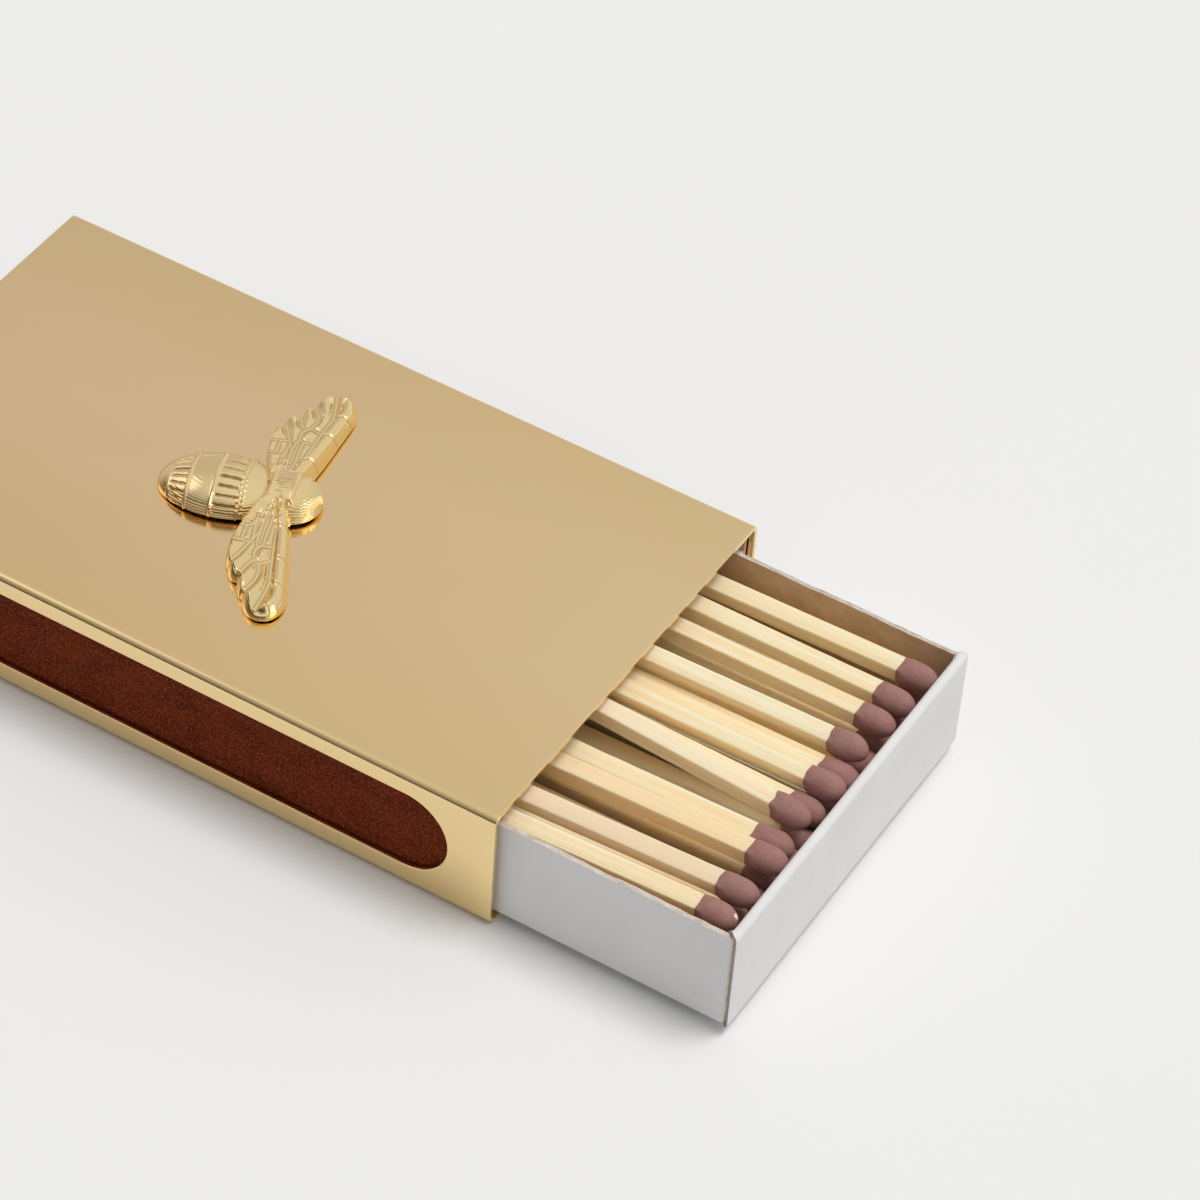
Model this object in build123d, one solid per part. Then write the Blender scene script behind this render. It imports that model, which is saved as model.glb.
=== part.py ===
from build123d import *
import os
from math import cos, radians, sin, sqrt

# A folded metal cover with a cast bee, slid over a household box of long matches.
# Frame: origin at the centre of the cover's underside, +X towards the drawn-out tray,
# +Y away from the window that the picture shows, +Z up. The matches set the box's size,
# so each piece is worked out from what it holds.

# Matches
match_length = 100.0
stick_side = 2.6
stick_gap = 0.3
stick_in_head = 3.4
head_length = 5.4
head_coat = 0.11  # thinnest coat, over the corners of the stick
head_gap = 0.08
head_mouth_step = 0.04
head_swell_length = 1.3
head_dome_length = 2.6

# Pile of matches
row_matches = 13  # the rows at the floor and third up; the row between holds one more
full_rows = 3
row_room = 0.17
wall_room = 0.08
side_slack = 3.8
end_slack = 7.3
tip_room = 0.2
rim_room = 0.5

# Tray and carton board
board = 0.45
ply_gap = 0.05
tray_crease = 0.4
tab_length = 13.0
tray_side_gap = 0.15
tray_far_gap = 2.1
tray_lift = 0.05
tray_head_room = 0.35
tray_drawn_out = 35.5  # from closed, to the place that the picture shows
carton_crease = 0.5
glue_line = 0.05
flap_height = 14.0

# Striker
strip_thickness = 0.1
strip_side_gap = 0.2
strip_edge_land = 1.2

# Cover
sheet = 0.7
bend_inside = 0.6
carton_lift = 0.05
carton_head_room = 0.25
cover_overhang = 1.0
seam_gap = 0.2
seam_from_middle = 16.0
window_end_land = 7.0
window_top_land = 3.2
window_low_land = 3.6

# Bee
bee_turn = 21.0  # degrees, from +X towards +Y
bee_shift_x = 1.9
bee_shift_y = -0.6
belly_lift = 1.0
abdomen_half_width = 6.0
abdomen_tail_length = 9.0
abdomen_front_length = 8.0
abdomen_height = 3.5
abdomen_back = 8.0  # widest place, behind the middle of the thorax
ring_wire = 0.32
dome_half_width = 4.5
dome_half_length = 4.3
dome_height = 3.0
dome_ahead = 0.9
plate_length = 3.8
plate_width = 6.2
plate_height = 3.45
plate_edge = 0.35
wing_span = 21.7
wing_chord = 9.8
wing_lift = 0.45
wing_root_height = 3.5
wing_tip_height = 1.1
wing_shift = -0.4
lead_rib_wire = 0.62
vein_wire = 0.3
foot_radius = 1.7
solder_thickness = 0.2
solder_rim = 0.25

overrun = 1.0

# Head pitches and heights in the pile
head_diameter = stick_side * sqrt(2) + 2 * head_coat
head_radius = head_diameter / 2
head_pitch = head_diameter + head_gap
row_pitch = head_pitch + row_room
row_rise = sqrt(head_pitch**2 - (row_pitch / 2) ** 2)
stick_pitch = stick_side + stick_gap
crown_lift_share = 0.43  # of the head pitch, for a match that rides on the row below

# The loose matches on top, counted from the near wall: where the head and the tail lie
# across the tray in row pitches, how far the head rides up in head pitches, how high
# the tail lies in stick pitches, and how far the tip stands back in head lengths.
crown_shares = {
    "top_match_01": (0.36, 0.48, -0.09, 3.3, 0.12),
    "top_match_02": (1.54, 0.52, 0.29, 4.6, 0.06),
    "top_match_03": (3.19, 0.46, 2.95, 3.3, 0.02),
    "top_match_04": (4.10, 0.13, 3.80, 3.3, 0.24),
    "top_match_05": (5.09, 0.58, 6.60, 4.6, 0.26),
    "top_match_06": (5.95, 0.02, 6.55, 3.3, 0.20),
    "top_match_07": (6.75, 0.60, 7.36, 3.3, 0.02),
    "top_match_08": (7.71, 0.15, 8.05, 3.0, 0.03),
    "top_match_09": (8.60, 0.62, 8.00, 4.7, 0.20),
    "top_match_10": (10.20, 0.43, 10.60, 3.3, 0.12),
    "top_match_11": (11.33, 0.43, 12.00, 3.3, 0.06),
    "top_match_12": (12.72, 0.40, 12.85, 3.3, 0.01),
}

# Tray, from the matches it holds
tray_inner_width = (row_matches + 1) * head_pitch + side_slack
tray_inner_length = match_length + end_slack
first_head = head_radius + head_gap
crown_floor = first_head + full_rows * row_rise
tray_inner_height = crown_floor + crown_lift_share * head_pitch + head_radius + rim_room
end_cavity = board + 2 * ply_gap
end_wall = 2 * board + end_cavity
tray_width = tray_inner_width + 2 * board
tray_length = tray_inner_length + 2 * end_wall
tray_height = tray_inner_height + board

# Carton, from the tray
carton_inner_width = tray_width + tray_side_gap + tray_far_gap + glue_line + board
carton_inner_height = tray_height + tray_lift + tray_head_room
carton_width = carton_inner_width + 2 * board
carton_height = carton_inner_height + 2 * board
carton_length = tray_length

# Cover, from the carton
cover_inner_width = carton_width + 2 * (strip_thickness + strip_side_gap)
cover_inner_height = carton_height + carton_lift + carton_head_room
cover_width = cover_inner_width + 2 * sheet
cover_height = cover_inner_height + 2 * sheet
cover_length = carton_length + 2 * cover_overhang

# Where the pieces lie, from the table up
carton_bottom = sheet + carton_lift
tray_bottom = carton_bottom + board + tray_lift
tray_floor = tray_bottom + board
tray_y = tray_width / 2 + tray_side_gap - carton_inner_width / 2
near_wall_y = tray_y - tray_inner_width / 2
tip_limit_x = tray_drawn_out + tray_inner_length / 2 - tip_room


def bent_tube(width, height, gauge, inside_radius):
    outer = RectangleRounded(width, height, inside_radius + gauge)
    inner = RectangleRounded(width - 2 * gauge, height - 2 * gauge, inside_radius)
    return Pos(0, height / 2) * (outer - inner)


def make_metal_cover():
    seam = Pos(seam_from_middle, sheet / 2) * Rectangle(seam_gap, sheet + overrun)
    section = bent_tube(cover_width, cover_height, sheet, bend_inside) - seam
    shell = extrude(Plane.YZ * section, cover_length / 2, both=True)
    window_length = cover_length - 2 * window_end_land
    window_height = cover_height - window_top_land - window_low_land
    window_rise = window_low_land + window_height / 2
    window = Plane.XZ * Pos(0, window_rise) * SlotOverall(window_length, window_height)
    return shell - extrude(window, cover_width, both=True)


def make_carton_sleeve():
    far_inside = carton_inner_width / 2
    section = bent_tube(carton_width, carton_height, board, carton_crease)
    slit_height = board + flap_height
    slit = Pos(far_inside - glue_line / 2, slit_height / 2) * Rectangle(glue_line, slit_height)
    flap_y = far_inside - glue_line - board / 2
    flap = Pos(flap_y, board + flap_height / 2) * Rectangle(board, flap_height)
    folded = (section + flap) - slit
    sleeve = extrude(Plane.YZ * folded, carton_length / 2, both=True)
    return Pos(0, 0, carton_bottom) * sleeve


def make_striker_strip(side):
    height = carton_height - 2 * strip_edge_land
    y = side * (carton_width + strip_thickness) / 2
    z = carton_bottom + carton_height / 2
    return Pos(0, y, z) * Box(carton_length, strip_thickness, height)


def arched_slot(thickness, height):
    arch = Pos(0, height - thickness / 2) * Circle(thickness / 2)
    leg = Pos(0, (height - thickness / 2) / 2) * Rectangle(thickness, height - thickness / 2)
    return arch + leg


def make_tray_end():
    fold = Plane.XZ * arched_slot(end_wall, tray_height)
    hollow = Plane.XZ * Pos(0, board) * arched_slot(end_cavity, tray_height - 2 * board)
    wall = extrude(fold, tray_width / 2, both=True)
    wall = fillet(wall.edges().filter_by(Axis.X).group_by(Axis.Z)[0], tray_crease)
    wall -= extrude(hollow, tray_width / 2 + overrun, both=True)
    ply_x = -(end_cavity + board) / 2
    ply_height = tray_height - end_wall / 2
    side_cut = Box(board, board + ply_gap, ply_height, align=(Align.CENTER, Align.CENTER, Align.MIN))
    cut_y = tray_inner_width / 2 + (board - ply_gap) / 2
    wall -= Pos(ply_x, cut_y, 0) * side_cut + Pos(ply_x, -cut_y, 0) * side_cut
    return wall


def make_tray():
    length = tray_length - 2 * (board + ply_gap)
    low_edge = tray_height - end_wall / 2
    section = Pos(0, tray_height / 2) * Rectangle(tray_width, tray_height)
    section -= Pos(0, board + tray_height / 2) * Rectangle(tray_inner_width, tray_height)
    section = fillet(section.vertices().filter_by_position(Axis.Y, 0, 0), tray_crease)
    body = extrude(Plane.YZ * section, length / 2, both=True)
    corner_length = end_cavity + board - ply_gap
    corner_x = length / 2 - corner_length / 2
    notch = Box(corner_length, tray_width + overrun, tray_height - low_edge + overrun)
    notch_z = low_edge + (tray_height - low_edge + overrun) / 2
    body -= Pos(corner_x, 0, notch_z) * notch + Pos(-corner_x, 0, notch_z) * notch
    tab_height = low_edge - board
    tab_x = length / 2 - board / 2
    tab_y = tray_inner_width / 2 - tab_length / 2
    tab = Box(board, tab_length, tab_height)
    for x in (-tab_x, tab_x):
        for y in (-tab_y, tab_y):
            body += Pos(x, y, board + tab_height / 2) * tab
    end = make_tray_end()
    end_x = (tray_length - end_wall) / 2
    body += Pos(end_x, 0, 0) * end + Pos(-end_x, 0, 0) * Rot(0, 0, 180) * end
    return Pos(tray_drawn_out, tray_y, tray_bottom) * body


def make_stick():
    length = match_length - head_length + stick_in_head
    return extrude(Rectangle(stick_side, stick_side), length)


def make_head():
    mouth = head_radius - head_mouth_step
    shoulder = head_length - head_dome_length
    dome_angles = [radians(angle) for angle in (0, 22.5, 45, 67.5, 90)]
    dome = [(head_radius * cos(a), shoulder + head_dome_length * sin(a)) for a in dome_angles]
    dome[-1] = (0, head_length)
    outline = [
        Line((0, 0), (mouth, 0)),
        Line((mouth, 0), (head_radius, head_swell_length)),
        Line((head_radius, head_swell_length), (head_radius, shoulder)),
        Spline(*dome, tangents=[(0, 1), (-1, 0)]),
        Line((0, head_length), (0, 0)),
    ]
    bulb = revolve(Plane.XZ * make_face(outline), Axis.Z)
    bulb -= extrude(Rectangle(stick_side, stick_side), stick_in_head)
    return Pos(0, 0, match_length - head_length) * bulb


def match_place(head_share, lift_share, tail_share, tail_level, back_share):
    tip_x = tip_limit_x - back_share * head_length
    first_y = near_wall_y + wall_room + head_radius
    head_y = first_y + head_share * row_pitch
    head_z = tray_floor + crown_floor + lift_share * head_pitch
    tail_y = first_y + tail_share * row_pitch
    tail_z = tray_floor + stick_gap + stick_side / 2 + tail_level * stick_pitch
    drop_y = head_y - tail_y
    drop_z = head_z - tail_z
    run_x = sqrt(match_length**2 - drop_y**2 - drop_z**2)
    tail = Vector(tip_x - run_x, tail_y, tail_z)
    axis = Vector(run_x, drop_y, drop_z)
    sideways = Vector(0, 0, 1).cross(axis)
    return Plane(origin=tail, x_dir=sideways, z_dir=axis).location


def make_row_places(row):
    count = row_matches + row % 2
    offset = (1 - row % 2) / 2
    lift = (row - full_rows) * row_rise / head_pitch
    back_shares = (0.05, 0.17, 0.09, 0.22, 0.12)
    places = []
    for i in range(count):
        back = back_shares[(2 * i + row) % len(back_shares)]
        places.append(match_place(i + offset, lift, i + offset, row, back))
    return places


def quarter_body(tail_length, front_length, half_width, height):
    outline = [
        EllipticalCenterArc((0, 0), tail_length, half_width, 90, arc_size=90),
        EllipticalCenterArc((0, 0), front_length, half_width, 0, arc_size=90),
        Line((-tail_length, 0), (front_length, 0)),
    ]
    return scale(revolve(make_face(outline), Axis.X), by=(1, 1, height / half_width))


def make_abdomen():
    body = quarter_body(abdomen_tail_length, abdomen_front_length, abdomen_half_width, abdomen_height)
    ring_shares = (-0.55, -0.05, 0.37)
    for share in ring_shares:
        ring_x = share * abdomen_tail_length
        reach = abdomen_front_length if share > 0 else abdomen_tail_length
        ring_radius = abdomen_half_width * sqrt(1 - (ring_x / reach) ** 2)
        ring = revolve(Pos(ring_x, ring_radius) * Circle(ring_wire), Axis.X)
        body += scale(ring, by=(1, 1, abdomen_height / abdomen_half_width))
    return Pos(-abdomen_back, 0, 0) * body


def wing_top(span_share):
    return wing_root_height + (wing_tip_height - wing_root_height) * span_share


def wing_point(chord_share, span_share):
    return (chord_share * wing_chord, span_share * wing_span)


def make_rib(start_share, end_share, wire):
    start = Vector(*wing_point(*start_share), wing_top(start_share[1]))
    end = Vector(*wing_point(*end_share), wing_top(end_share[1]))
    run = Plane(origin=start, z_dir=end - start).location
    shaft = extrude(Circle(wire), (end - start).length)
    return run * shaft + Pos(*start) * Sphere(wire) + Pos(*end) * Sphere(wire)


def make_wing():
    lead_shares = ((0.14, 0.06), (0.32, 0.36), (0.44, 0.62), (0.53, 0.82), (0.47, 0.93))
    tip_shares = ((0.47, 0.93), (0.28, 1.00), (0.03, 0.94), (-0.05, 0.84))
    lobe_shares = (
        ((-0.05, 0.84), (-0.11, 0.79), (-0.18, 0.725)),
        ((-0.18, 0.725), (-0.30, 0.71), (-0.38, 0.65)),
        ((-0.38, 0.65), (-0.50, 0.42), (-0.33, 0.13)),
    )
    edges = [Spline(*[wing_point(*p) for p in lead_shares])]
    edges.append(Spline(*[wing_point(*p) for p in tip_shares]))
    edges.extend(ThreePointArc(*[wing_point(*p) for p in lobe]) for lobe in lobe_shares)
    edges.append(Line(wing_point(*lobe_shares[-1][-1]), wing_point(*lead_shares[0])))
    plate = extrude(make_face(edges), wing_root_height + overrun)
    slope = Polyline(
        (0, 0),
        (wing_span + overrun, 0),
        (wing_span + overrun, wing_top(1 + overrun / wing_span)),
        (0, wing_root_height),
        close=True,
    )
    wedge = extrude(Plane.YZ * make_face(slope), wing_chord, both=True)
    wing = plate & wedge
    wing += make_rib((0.12, 0.10), (0.46, 0.80), lead_rib_wire)
    vein_shares = (
        ((-0.02, 0.12), (0.26, 0.74)),
        ((0.26, 0.74), (0.40, 0.90)),
        ((0.26, 0.74), (0.16, 0.92)),
        ((-0.10, 0.12), (-0.02, 0.80)),
        ((-0.20, 0.13), (-0.16, 0.69)),
        ((-0.26, 0.13), (-0.36, 0.62)),
        ((-0.06, 0.44), (0.13, 0.44)),
        ((-0.05, 0.60), (0.19, 0.60)),
        ((0.13, 0.44), (0.30, 0.44)),
        ((0.24, 0.68), (0.42, 0.68)),
        ((-0.38, 0.40), (-0.18, 0.46)),
    )
    for start_share, end_share in vein_shares:
        wing += make_rib(start_share, end_share, vein_wire)
    return wing


def make_bee():
    bee = make_abdomen()
    dome = quarter_body(dome_half_length, dome_half_length, dome_half_width, dome_height)
    bee += Pos(dome_ahead, 0, 0) * dome
    reach = wing_span + abdomen_back + abdomen_tail_length
    bee &= Pos(0, 0, reach / 2) * Box(2 * reach, 2 * reach, reach)
    plate = extrude(RectangleRounded(plate_length, plate_width, plate_edge), plate_height)
    plate = chamfer(plate.faces().sort_by(Axis.Z)[-1].edges(), plate_edge)
    bee += plate
    bee = Pos(0, 0, belly_lift) * bee
    wing = make_wing()
    bee += Pos(0, wing_shift, wing_lift) * wing
    bee += Pos(0, wing_shift, wing_lift) * mirror(wing, Plane.XZ)
    foot_height = belly_lift - solder_thickness + belly_lift
    foot = extrude(Circle(foot_radius), foot_height)
    for foot_x in (-abdomen_back, dome_ahead):
        bee += Pos(foot_x, 0, solder_thickness) * foot
    return bee


def make_solder():
    pad = extrude(Circle(foot_radius + solder_rim), solder_thickness)
    return [Pos(foot_x, 0, 0) * pad for foot_x in (-abdomen_back, dome_ahead)]


def on_cover(piece):
    return Pos(bee_shift_x, bee_shift_y, cover_height) * Rot(0, 0, bee_turn) * piece


def save(node, solids):
    export_step(Compound(children=solids) if len(solids) > 1 else solids[0], f"parts/{node}.step")


os.makedirs("parts", exist_ok=True)
save("metal_cover", [make_metal_cover()])
save("bee_ornament", [on_cover(make_bee())])
save("bee_solder", [on_cover(pad) for pad in make_solder()])
save("carton_sleeve", [make_carton_sleeve()])
save("striker_strip_near", [make_striker_strip(-1)])
save("striker_strip_far", [make_striker_strip(1)])
save("tray", [make_tray()])

stick = make_stick()
head = make_head()
for row, name in enumerate(("bottom_row", "second_row", "third_row")):
    places = make_row_places(row)
    save(f"{name}_sticks", [place * stick for place in places])
    save(f"{name}_heads", [place * head for place in places])
for name, shares in crown_shares.items():
    place = match_place(*shares)
    save(f"{name}_stick", [place * stick])
    save(f"{name}_head", [place * head])
print(f"cover {cover_length:.2f} x {cover_width:.2f} x {cover_height:.2f} mm")
print(f"tray {tray_length:.2f} x {tray_width:.2f} x {tray_height:.2f} mm, at y {tray_y:.2f}")
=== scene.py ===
import math
import bpy
import bmesh
import numpy as np
from mathutils import Matrix, Vector


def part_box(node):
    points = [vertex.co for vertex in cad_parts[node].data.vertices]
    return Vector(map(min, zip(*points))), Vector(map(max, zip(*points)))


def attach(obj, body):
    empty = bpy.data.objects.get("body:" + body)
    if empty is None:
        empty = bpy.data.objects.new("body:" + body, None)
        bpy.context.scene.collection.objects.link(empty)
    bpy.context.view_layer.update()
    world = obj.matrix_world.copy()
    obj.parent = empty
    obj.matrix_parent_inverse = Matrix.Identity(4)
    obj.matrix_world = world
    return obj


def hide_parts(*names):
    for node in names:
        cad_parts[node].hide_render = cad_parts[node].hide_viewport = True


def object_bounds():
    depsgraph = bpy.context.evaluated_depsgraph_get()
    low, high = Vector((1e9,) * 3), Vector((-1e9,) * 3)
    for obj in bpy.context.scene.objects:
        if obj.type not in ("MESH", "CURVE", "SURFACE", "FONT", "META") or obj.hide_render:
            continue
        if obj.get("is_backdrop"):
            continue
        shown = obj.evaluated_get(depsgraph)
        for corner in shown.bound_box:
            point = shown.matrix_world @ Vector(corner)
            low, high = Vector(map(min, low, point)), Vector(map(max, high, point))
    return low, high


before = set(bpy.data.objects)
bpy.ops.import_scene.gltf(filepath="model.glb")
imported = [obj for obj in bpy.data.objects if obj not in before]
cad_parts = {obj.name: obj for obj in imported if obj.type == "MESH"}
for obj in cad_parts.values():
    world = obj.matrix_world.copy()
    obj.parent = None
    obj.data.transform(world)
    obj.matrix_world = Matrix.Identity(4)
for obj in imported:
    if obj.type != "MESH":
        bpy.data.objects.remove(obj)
cadLow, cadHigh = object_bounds()
mm = 0.001
print("frame loaded")


# Small helpers for node trees and meshes

def addNode(tree, kind, inputs=None, **settings):
    node = tree.nodes.new(kind)
    for key, value in settings.items():
        setattr(node, key, value)
    for key, value in (inputs or {}).items():
        if isinstance(value, bpy.types.NodeSocket):
            tree.links.new(value, node.inputs[key])
        else:
            node.inputs[key].default_value = value
    return node


def nodeOut(tree, kind, inputs=None, **settings):
    return addNode(tree, kind, inputs, **settings).outputs[0]


def newFinish(name, **uniform):
    finish = bpy.data.materials.new(name)
    finish.use_nodes = True
    tree = finish.node_tree
    shader = tree.nodes["Principled BSDF"]
    for key, value in uniform.items():
        shader.inputs[key.replace("_", " ")].default_value = value
    return finish, tree, shader


def blendColors(tree, factor, first, second):
    mix = addNode(tree, "ShaderNodeMix", data_type="RGBA")
    for index, value in ((0, factor), (6, first), (7, second)):
        if isinstance(value, bpy.types.NodeSocket):
            tree.links.new(value, mix.inputs[index])
        elif index == 0:
            mix.inputs[index].default_value = value
        else:
            mix.inputs[index].default_value = (*value, 1)
    return mix.outputs[2]


def layered(tree, tone, *layers):
    # each layer: a field, its share at both ends of a range, the range, and a color
    for field, least, most, start, end, color in layers:
        tone = blendColors(tree, spread(tree, field, least, most, start, end), tone, color)
    return tone


def spread(tree, value, low, high, fromLow=0.0, fromHigh=1.0, ramp="LINEAR"):
    return nodeOut(tree, "ShaderNodeMapRange", {"Value": value, "From Min": fromLow, "From Max": fromHigh,
                                                "To Min": low, "To Max": high},
                   interpolation_type=ramp)


def mathOn(tree, operation, first, second):
    return nodeOut(tree, "ShaderNodeMath", {0: first, 1: second}, operation=operation)


def vectorOn(tree, operation, first, second):
    return nodeOut(tree, "ShaderNodeVectorMath", {0: first, 1: second}, operation=operation)


def towards(tree, way, target):
    # the cosine between two directions
    return addNode(tree, "ShaderNodeVectorMath", {0: way, 1: target},
                   operation="DOT_PRODUCT").outputs["Value"]


def noiseOn(tree, vector, stretch, detail=3.0, roughness=0.55, shift=(0, 0, 0)):
    # stretch is one number for all three ways, or one for each
    scale = stretch if isinstance(stretch, tuple) else (stretch,) * 3
    place = addNode(tree, "ShaderNodeMapping", {"Vector": vector, "Location": shift, "Scale": scale})
    return nodeOut(tree, "ShaderNodeTexNoise", {"Vector": place.outputs[0], "Scale": 1.0, "Detail": detail,
                                                "Roughness": roughness})


def bumpFrom(tree, height, distance, strength=1.0, before=None):
    inputs = {"Height": height, "Distance": distance, "Strength": strength}
    if before is not None:
        inputs["Normal"] = before
    return nodeOut(tree, "ShaderNodeBump", inputs)


def wire(tree, shader, tone, normal=None, roughness=None):
    for key, value in (("Base Color", tone), ("Normal", normal), ("Roughness", roughness)):
        if value is not None:
            tree.links.new(value, shader.inputs[key])


def objectPlace(tree):
    return addNode(tree, "ShaderNodeTexCoord").outputs["Object"]


def named(tree, label, output="Fac"):
    return addNode(tree, "ShaderNodeAttribute", attribute_name=label).outputs[output]


def placed(name, data):
    thing = bpy.data.objects.new(name, data)
    bpy.context.scene.collection.objects.link(thing)
    return thing


def mark(mesh, label, values):
    mesh.attributes.new(label, "FLOAT", "POINT").data.foreach_set("value", np.asarray(values, np.float32))


def shadeSmooth(mesh, sharp):
    mesh.polygons.foreach_set("use_smooth", [True] * len(mesh.polygons))
    mesh.set_sharp_from_angle(angle=math.radians(sharp))


def meshPiece(name, points, faces, finishes, kinds=None, marks=None, sharp=35.0):
    mesh = bpy.data.meshes.new(name)
    mesh.from_pydata(np.asarray(points, float).tolist(), [], faces)
    for finish in finishes:
        mesh.materials.append(finish)
    if kinds is not None:
        mesh.polygons.foreach_set("material_index", kinds)
    for label, values in (marks or {}).items():
        mark(mesh, label, values)
    shape = bmesh.new()
    shape.from_mesh(mesh)
    bmesh.ops.recalc_face_normals(shape, faces=shape.faces)
    shape.to_mesh(mesh)
    shape.free()
    shadeSmooth(mesh, sharp)
    return placed(name, mesh)


def bakedPiece(name, source):
    # the modifiers' result as a plain mesh, without the source object
    mesh = bpy.data.meshes.new_from_object(source.evaluated_get(bpy.context.evaluated_depsgraph_get()))
    bpy.data.objects.remove(source)
    return placed(name, mesh)


def gridFaces(rows, columns, start=0, around=False):
    faces = []
    for row in range(rows - 1):
        for column in range(columns if around else columns - 1):
            a = start + row * columns + column
            b = start + row * columns + (column + 1) % columns
            faces.append((a, b, b + columns, a + columns))
    return faces


def joinShells(shells):
    # each shell is (points, faces, marks): one list of points and faces for them all
    points, faces, marks, start = [], [], [], 0
    for shellPoints, shellFaces, shellMarks in shells:
        points.append(np.asarray(shellPoints, float))
        faces.extend(tuple(start + index for index in face) for face in shellFaces)
        marks.append(np.asarray(shellMarks, float))
        start += len(shellPoints)
    return np.vstack(points), faces, np.concatenate(marks)


def ripple(count, seed, step=1):
    # smooth random values from -1 to 1, one for every step places
    draws = np.random.default_rng(seed).uniform(-1, 1, count // step + 3)
    return np.interp(np.arange(count) / step, np.arange(len(draws)), draws)


# Camera, studio light and floor

photoView = {
    "azimuth": 28.15, "elevation": 44.38, "roll": 4.61,  # degrees
    "distance": 0.6181, "across": 0.01418, "up": 0.04191,  # metres
    "focalPixels": 4815.4, "imageSide": 1200, "sensor": 36.0,
}

# ways are directions, heights and reaches are parts of them, and edges are cosines
studio = {
    "camera": (0.835, 0.835, 0.835), "floor": (0.86, 0.86, 0.86), "floorShade": 0.985,
    "floorReach": 3.0, "floorDrop": 0.02 * mm,
    "far": 0.66, "zenith": 0.71, "farHeights": (0.62, 0.98), "acrossFall": 0.07, "fallReach": (-0.48, -0.20),
    "leftTint": (1.0, 0.945, 0.955), "rightTint": (1.0, 1.0, 0.985), "tintReach": (-0.40, -0.25),
    "nearWay": (-0.34, -0.94, 0.0), "nearEdges": (0.05, 0.75), "nearLow": 0.03, "nearHigh": 0.64,
    "nearHeight": 0.90, "nearTint": (1.0, 0.80, 0.50), "brownHeight": 0.5,
}
sideBox = {"way": (0.968, 0.031, 0.247), "edges": (0.891, 0.966), "level": 1.2}
leftBox = {"way": (-0.72, -0.22, 0.66), "edges": (0.90, 0.965), "level": 0.65}
softFill = {"way": (0.22, 0.50, 0.84), "edges": (-0.3, 0.9), "dim": 0.27, "bright": 0.52}
keyLamp = {"way": (0.28, 0.20, 0.94), "angle": 28.0, "strength": 1.88, "color": (1.0, 0.99, 0.98)}


def makeCamera():
    azimuth, elevation, roll = (math.radians(photoView[key]) for key in ("azimuth", "elevation", "roll"))
    back = Vector((math.sin(azimuth) * math.cos(elevation), -math.cos(azimuth) * math.cos(elevation),
                   math.sin(elevation)))
    level = Vector((math.cos(azimuth), math.sin(azimuth), 0))
    upright = back.cross(level)
    right = level * math.cos(roll) + upright * math.sin(roll)
    up = upright * math.cos(roll) - level * math.sin(roll)
    low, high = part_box("metal_cover")
    corner = Vector((high.x, low.y, 0))  # the cover's near corner at its open end, on the floor
    eye = corner + back * photoView["distance"] + right * photoView["across"] + up * photoView["up"]
    data = bpy.data.cameras.new("photoCamera")
    data.sensor_width = photoView["sensor"]
    data.lens = photoView["sensor"] * photoView["focalPixels"] / photoView["imageSide"]
    data.clip_start, data.clip_end = 0.01, 20
    camera = placed("photoCamera", data)
    camera.matrix_world = Matrix((
        (right.x, up.x, back.x, eye.x), (right.y, up.y, back.y, eye.y),
        (right.z, up.z, back.z, eye.z), (0, 0, 0, 1)))
    bpy.context.scene.camera = camera


def makeSky():
    # metal sees the studio with its dark near side and light boxes, everything else a soft fill
    world = bpy.data.worlds.new("studioWorld")
    bpy.context.scene.world = world
    world.use_nodes = True
    tree = world.node_tree
    tree.nodes.clear()
    way = addNode(tree, "ShaderNodeTexCoord").outputs["Generated"]
    parts = addNode(tree, "ShaderNodeSeparateXYZ", {0: way}).outputs
    side, height = parts[0], parts[2]
    high = spread(tree, height, studio["far"], studio["zenith"], *studio["farHeights"], "SMOOTHSTEP")
    slope = spread(tree, side, -studio["acrossFall"], studio["acrossFall"], *studio["fallReach"])
    high = mathOn(tree, "ADD", high, slope)
    near = spread(tree, towards(tree, way, studio["nearWay"]), 0, 1, *studio["nearEdges"], "SMOOTHSTEP")
    nearLevel = spread(tree, height, studio["nearLow"], studio["nearHigh"], 0, studio["nearHeight"])
    level = nodeOut(tree, "ShaderNodeMix", {0: near, 2: high, 3: nearLevel})
    for lightBox in (sideBox, leftBox):
        toBox = towards(tree, way, lightBox["way"])
        glow = spread(tree, toBox, 0, lightBox["level"], *lightBox["edges"], "SMOOTHSTEP")
        level = mathOn(tree, "ADD", level, glow)
    tint = layered(tree, studio["leftTint"], (side, 0, 1, *studio["tintReach"], studio["rightTint"]))
    brown = mathOn(tree, "MULTIPLY", near, spread(tree, height, 1, 0, 0, studio["brownHeight"]))
    tint = blendColors(tree, brown, tint, studio["nearTint"])
    fillLevel = spread(tree, towards(tree, way, softFill["way"]), softFill["dim"], softFill["bright"],
                       *softFill["edges"])
    sky, fill, plain = (
        nodeOut(tree, "ShaderNodeBackground", {"Color": color, "Strength": strength})
        for color, strength in ((tint, level), ((1, 1, 1, 1), fillLevel), ((*studio["camera"], 1), 1.0)))
    path = addNode(tree, "ShaderNodeLightPath").outputs
    light = nodeOut(tree, "ShaderNodeMixShader", {0: path["Is Glossy Ray"], 1: fill, 2: sky})
    shown = nodeOut(tree, "ShaderNodeMixShader", {0: path["Is Camera Ray"], 1: light, 2: plain})
    addNode(tree, "ShaderNodeOutputWorld", {0: shown})


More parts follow.
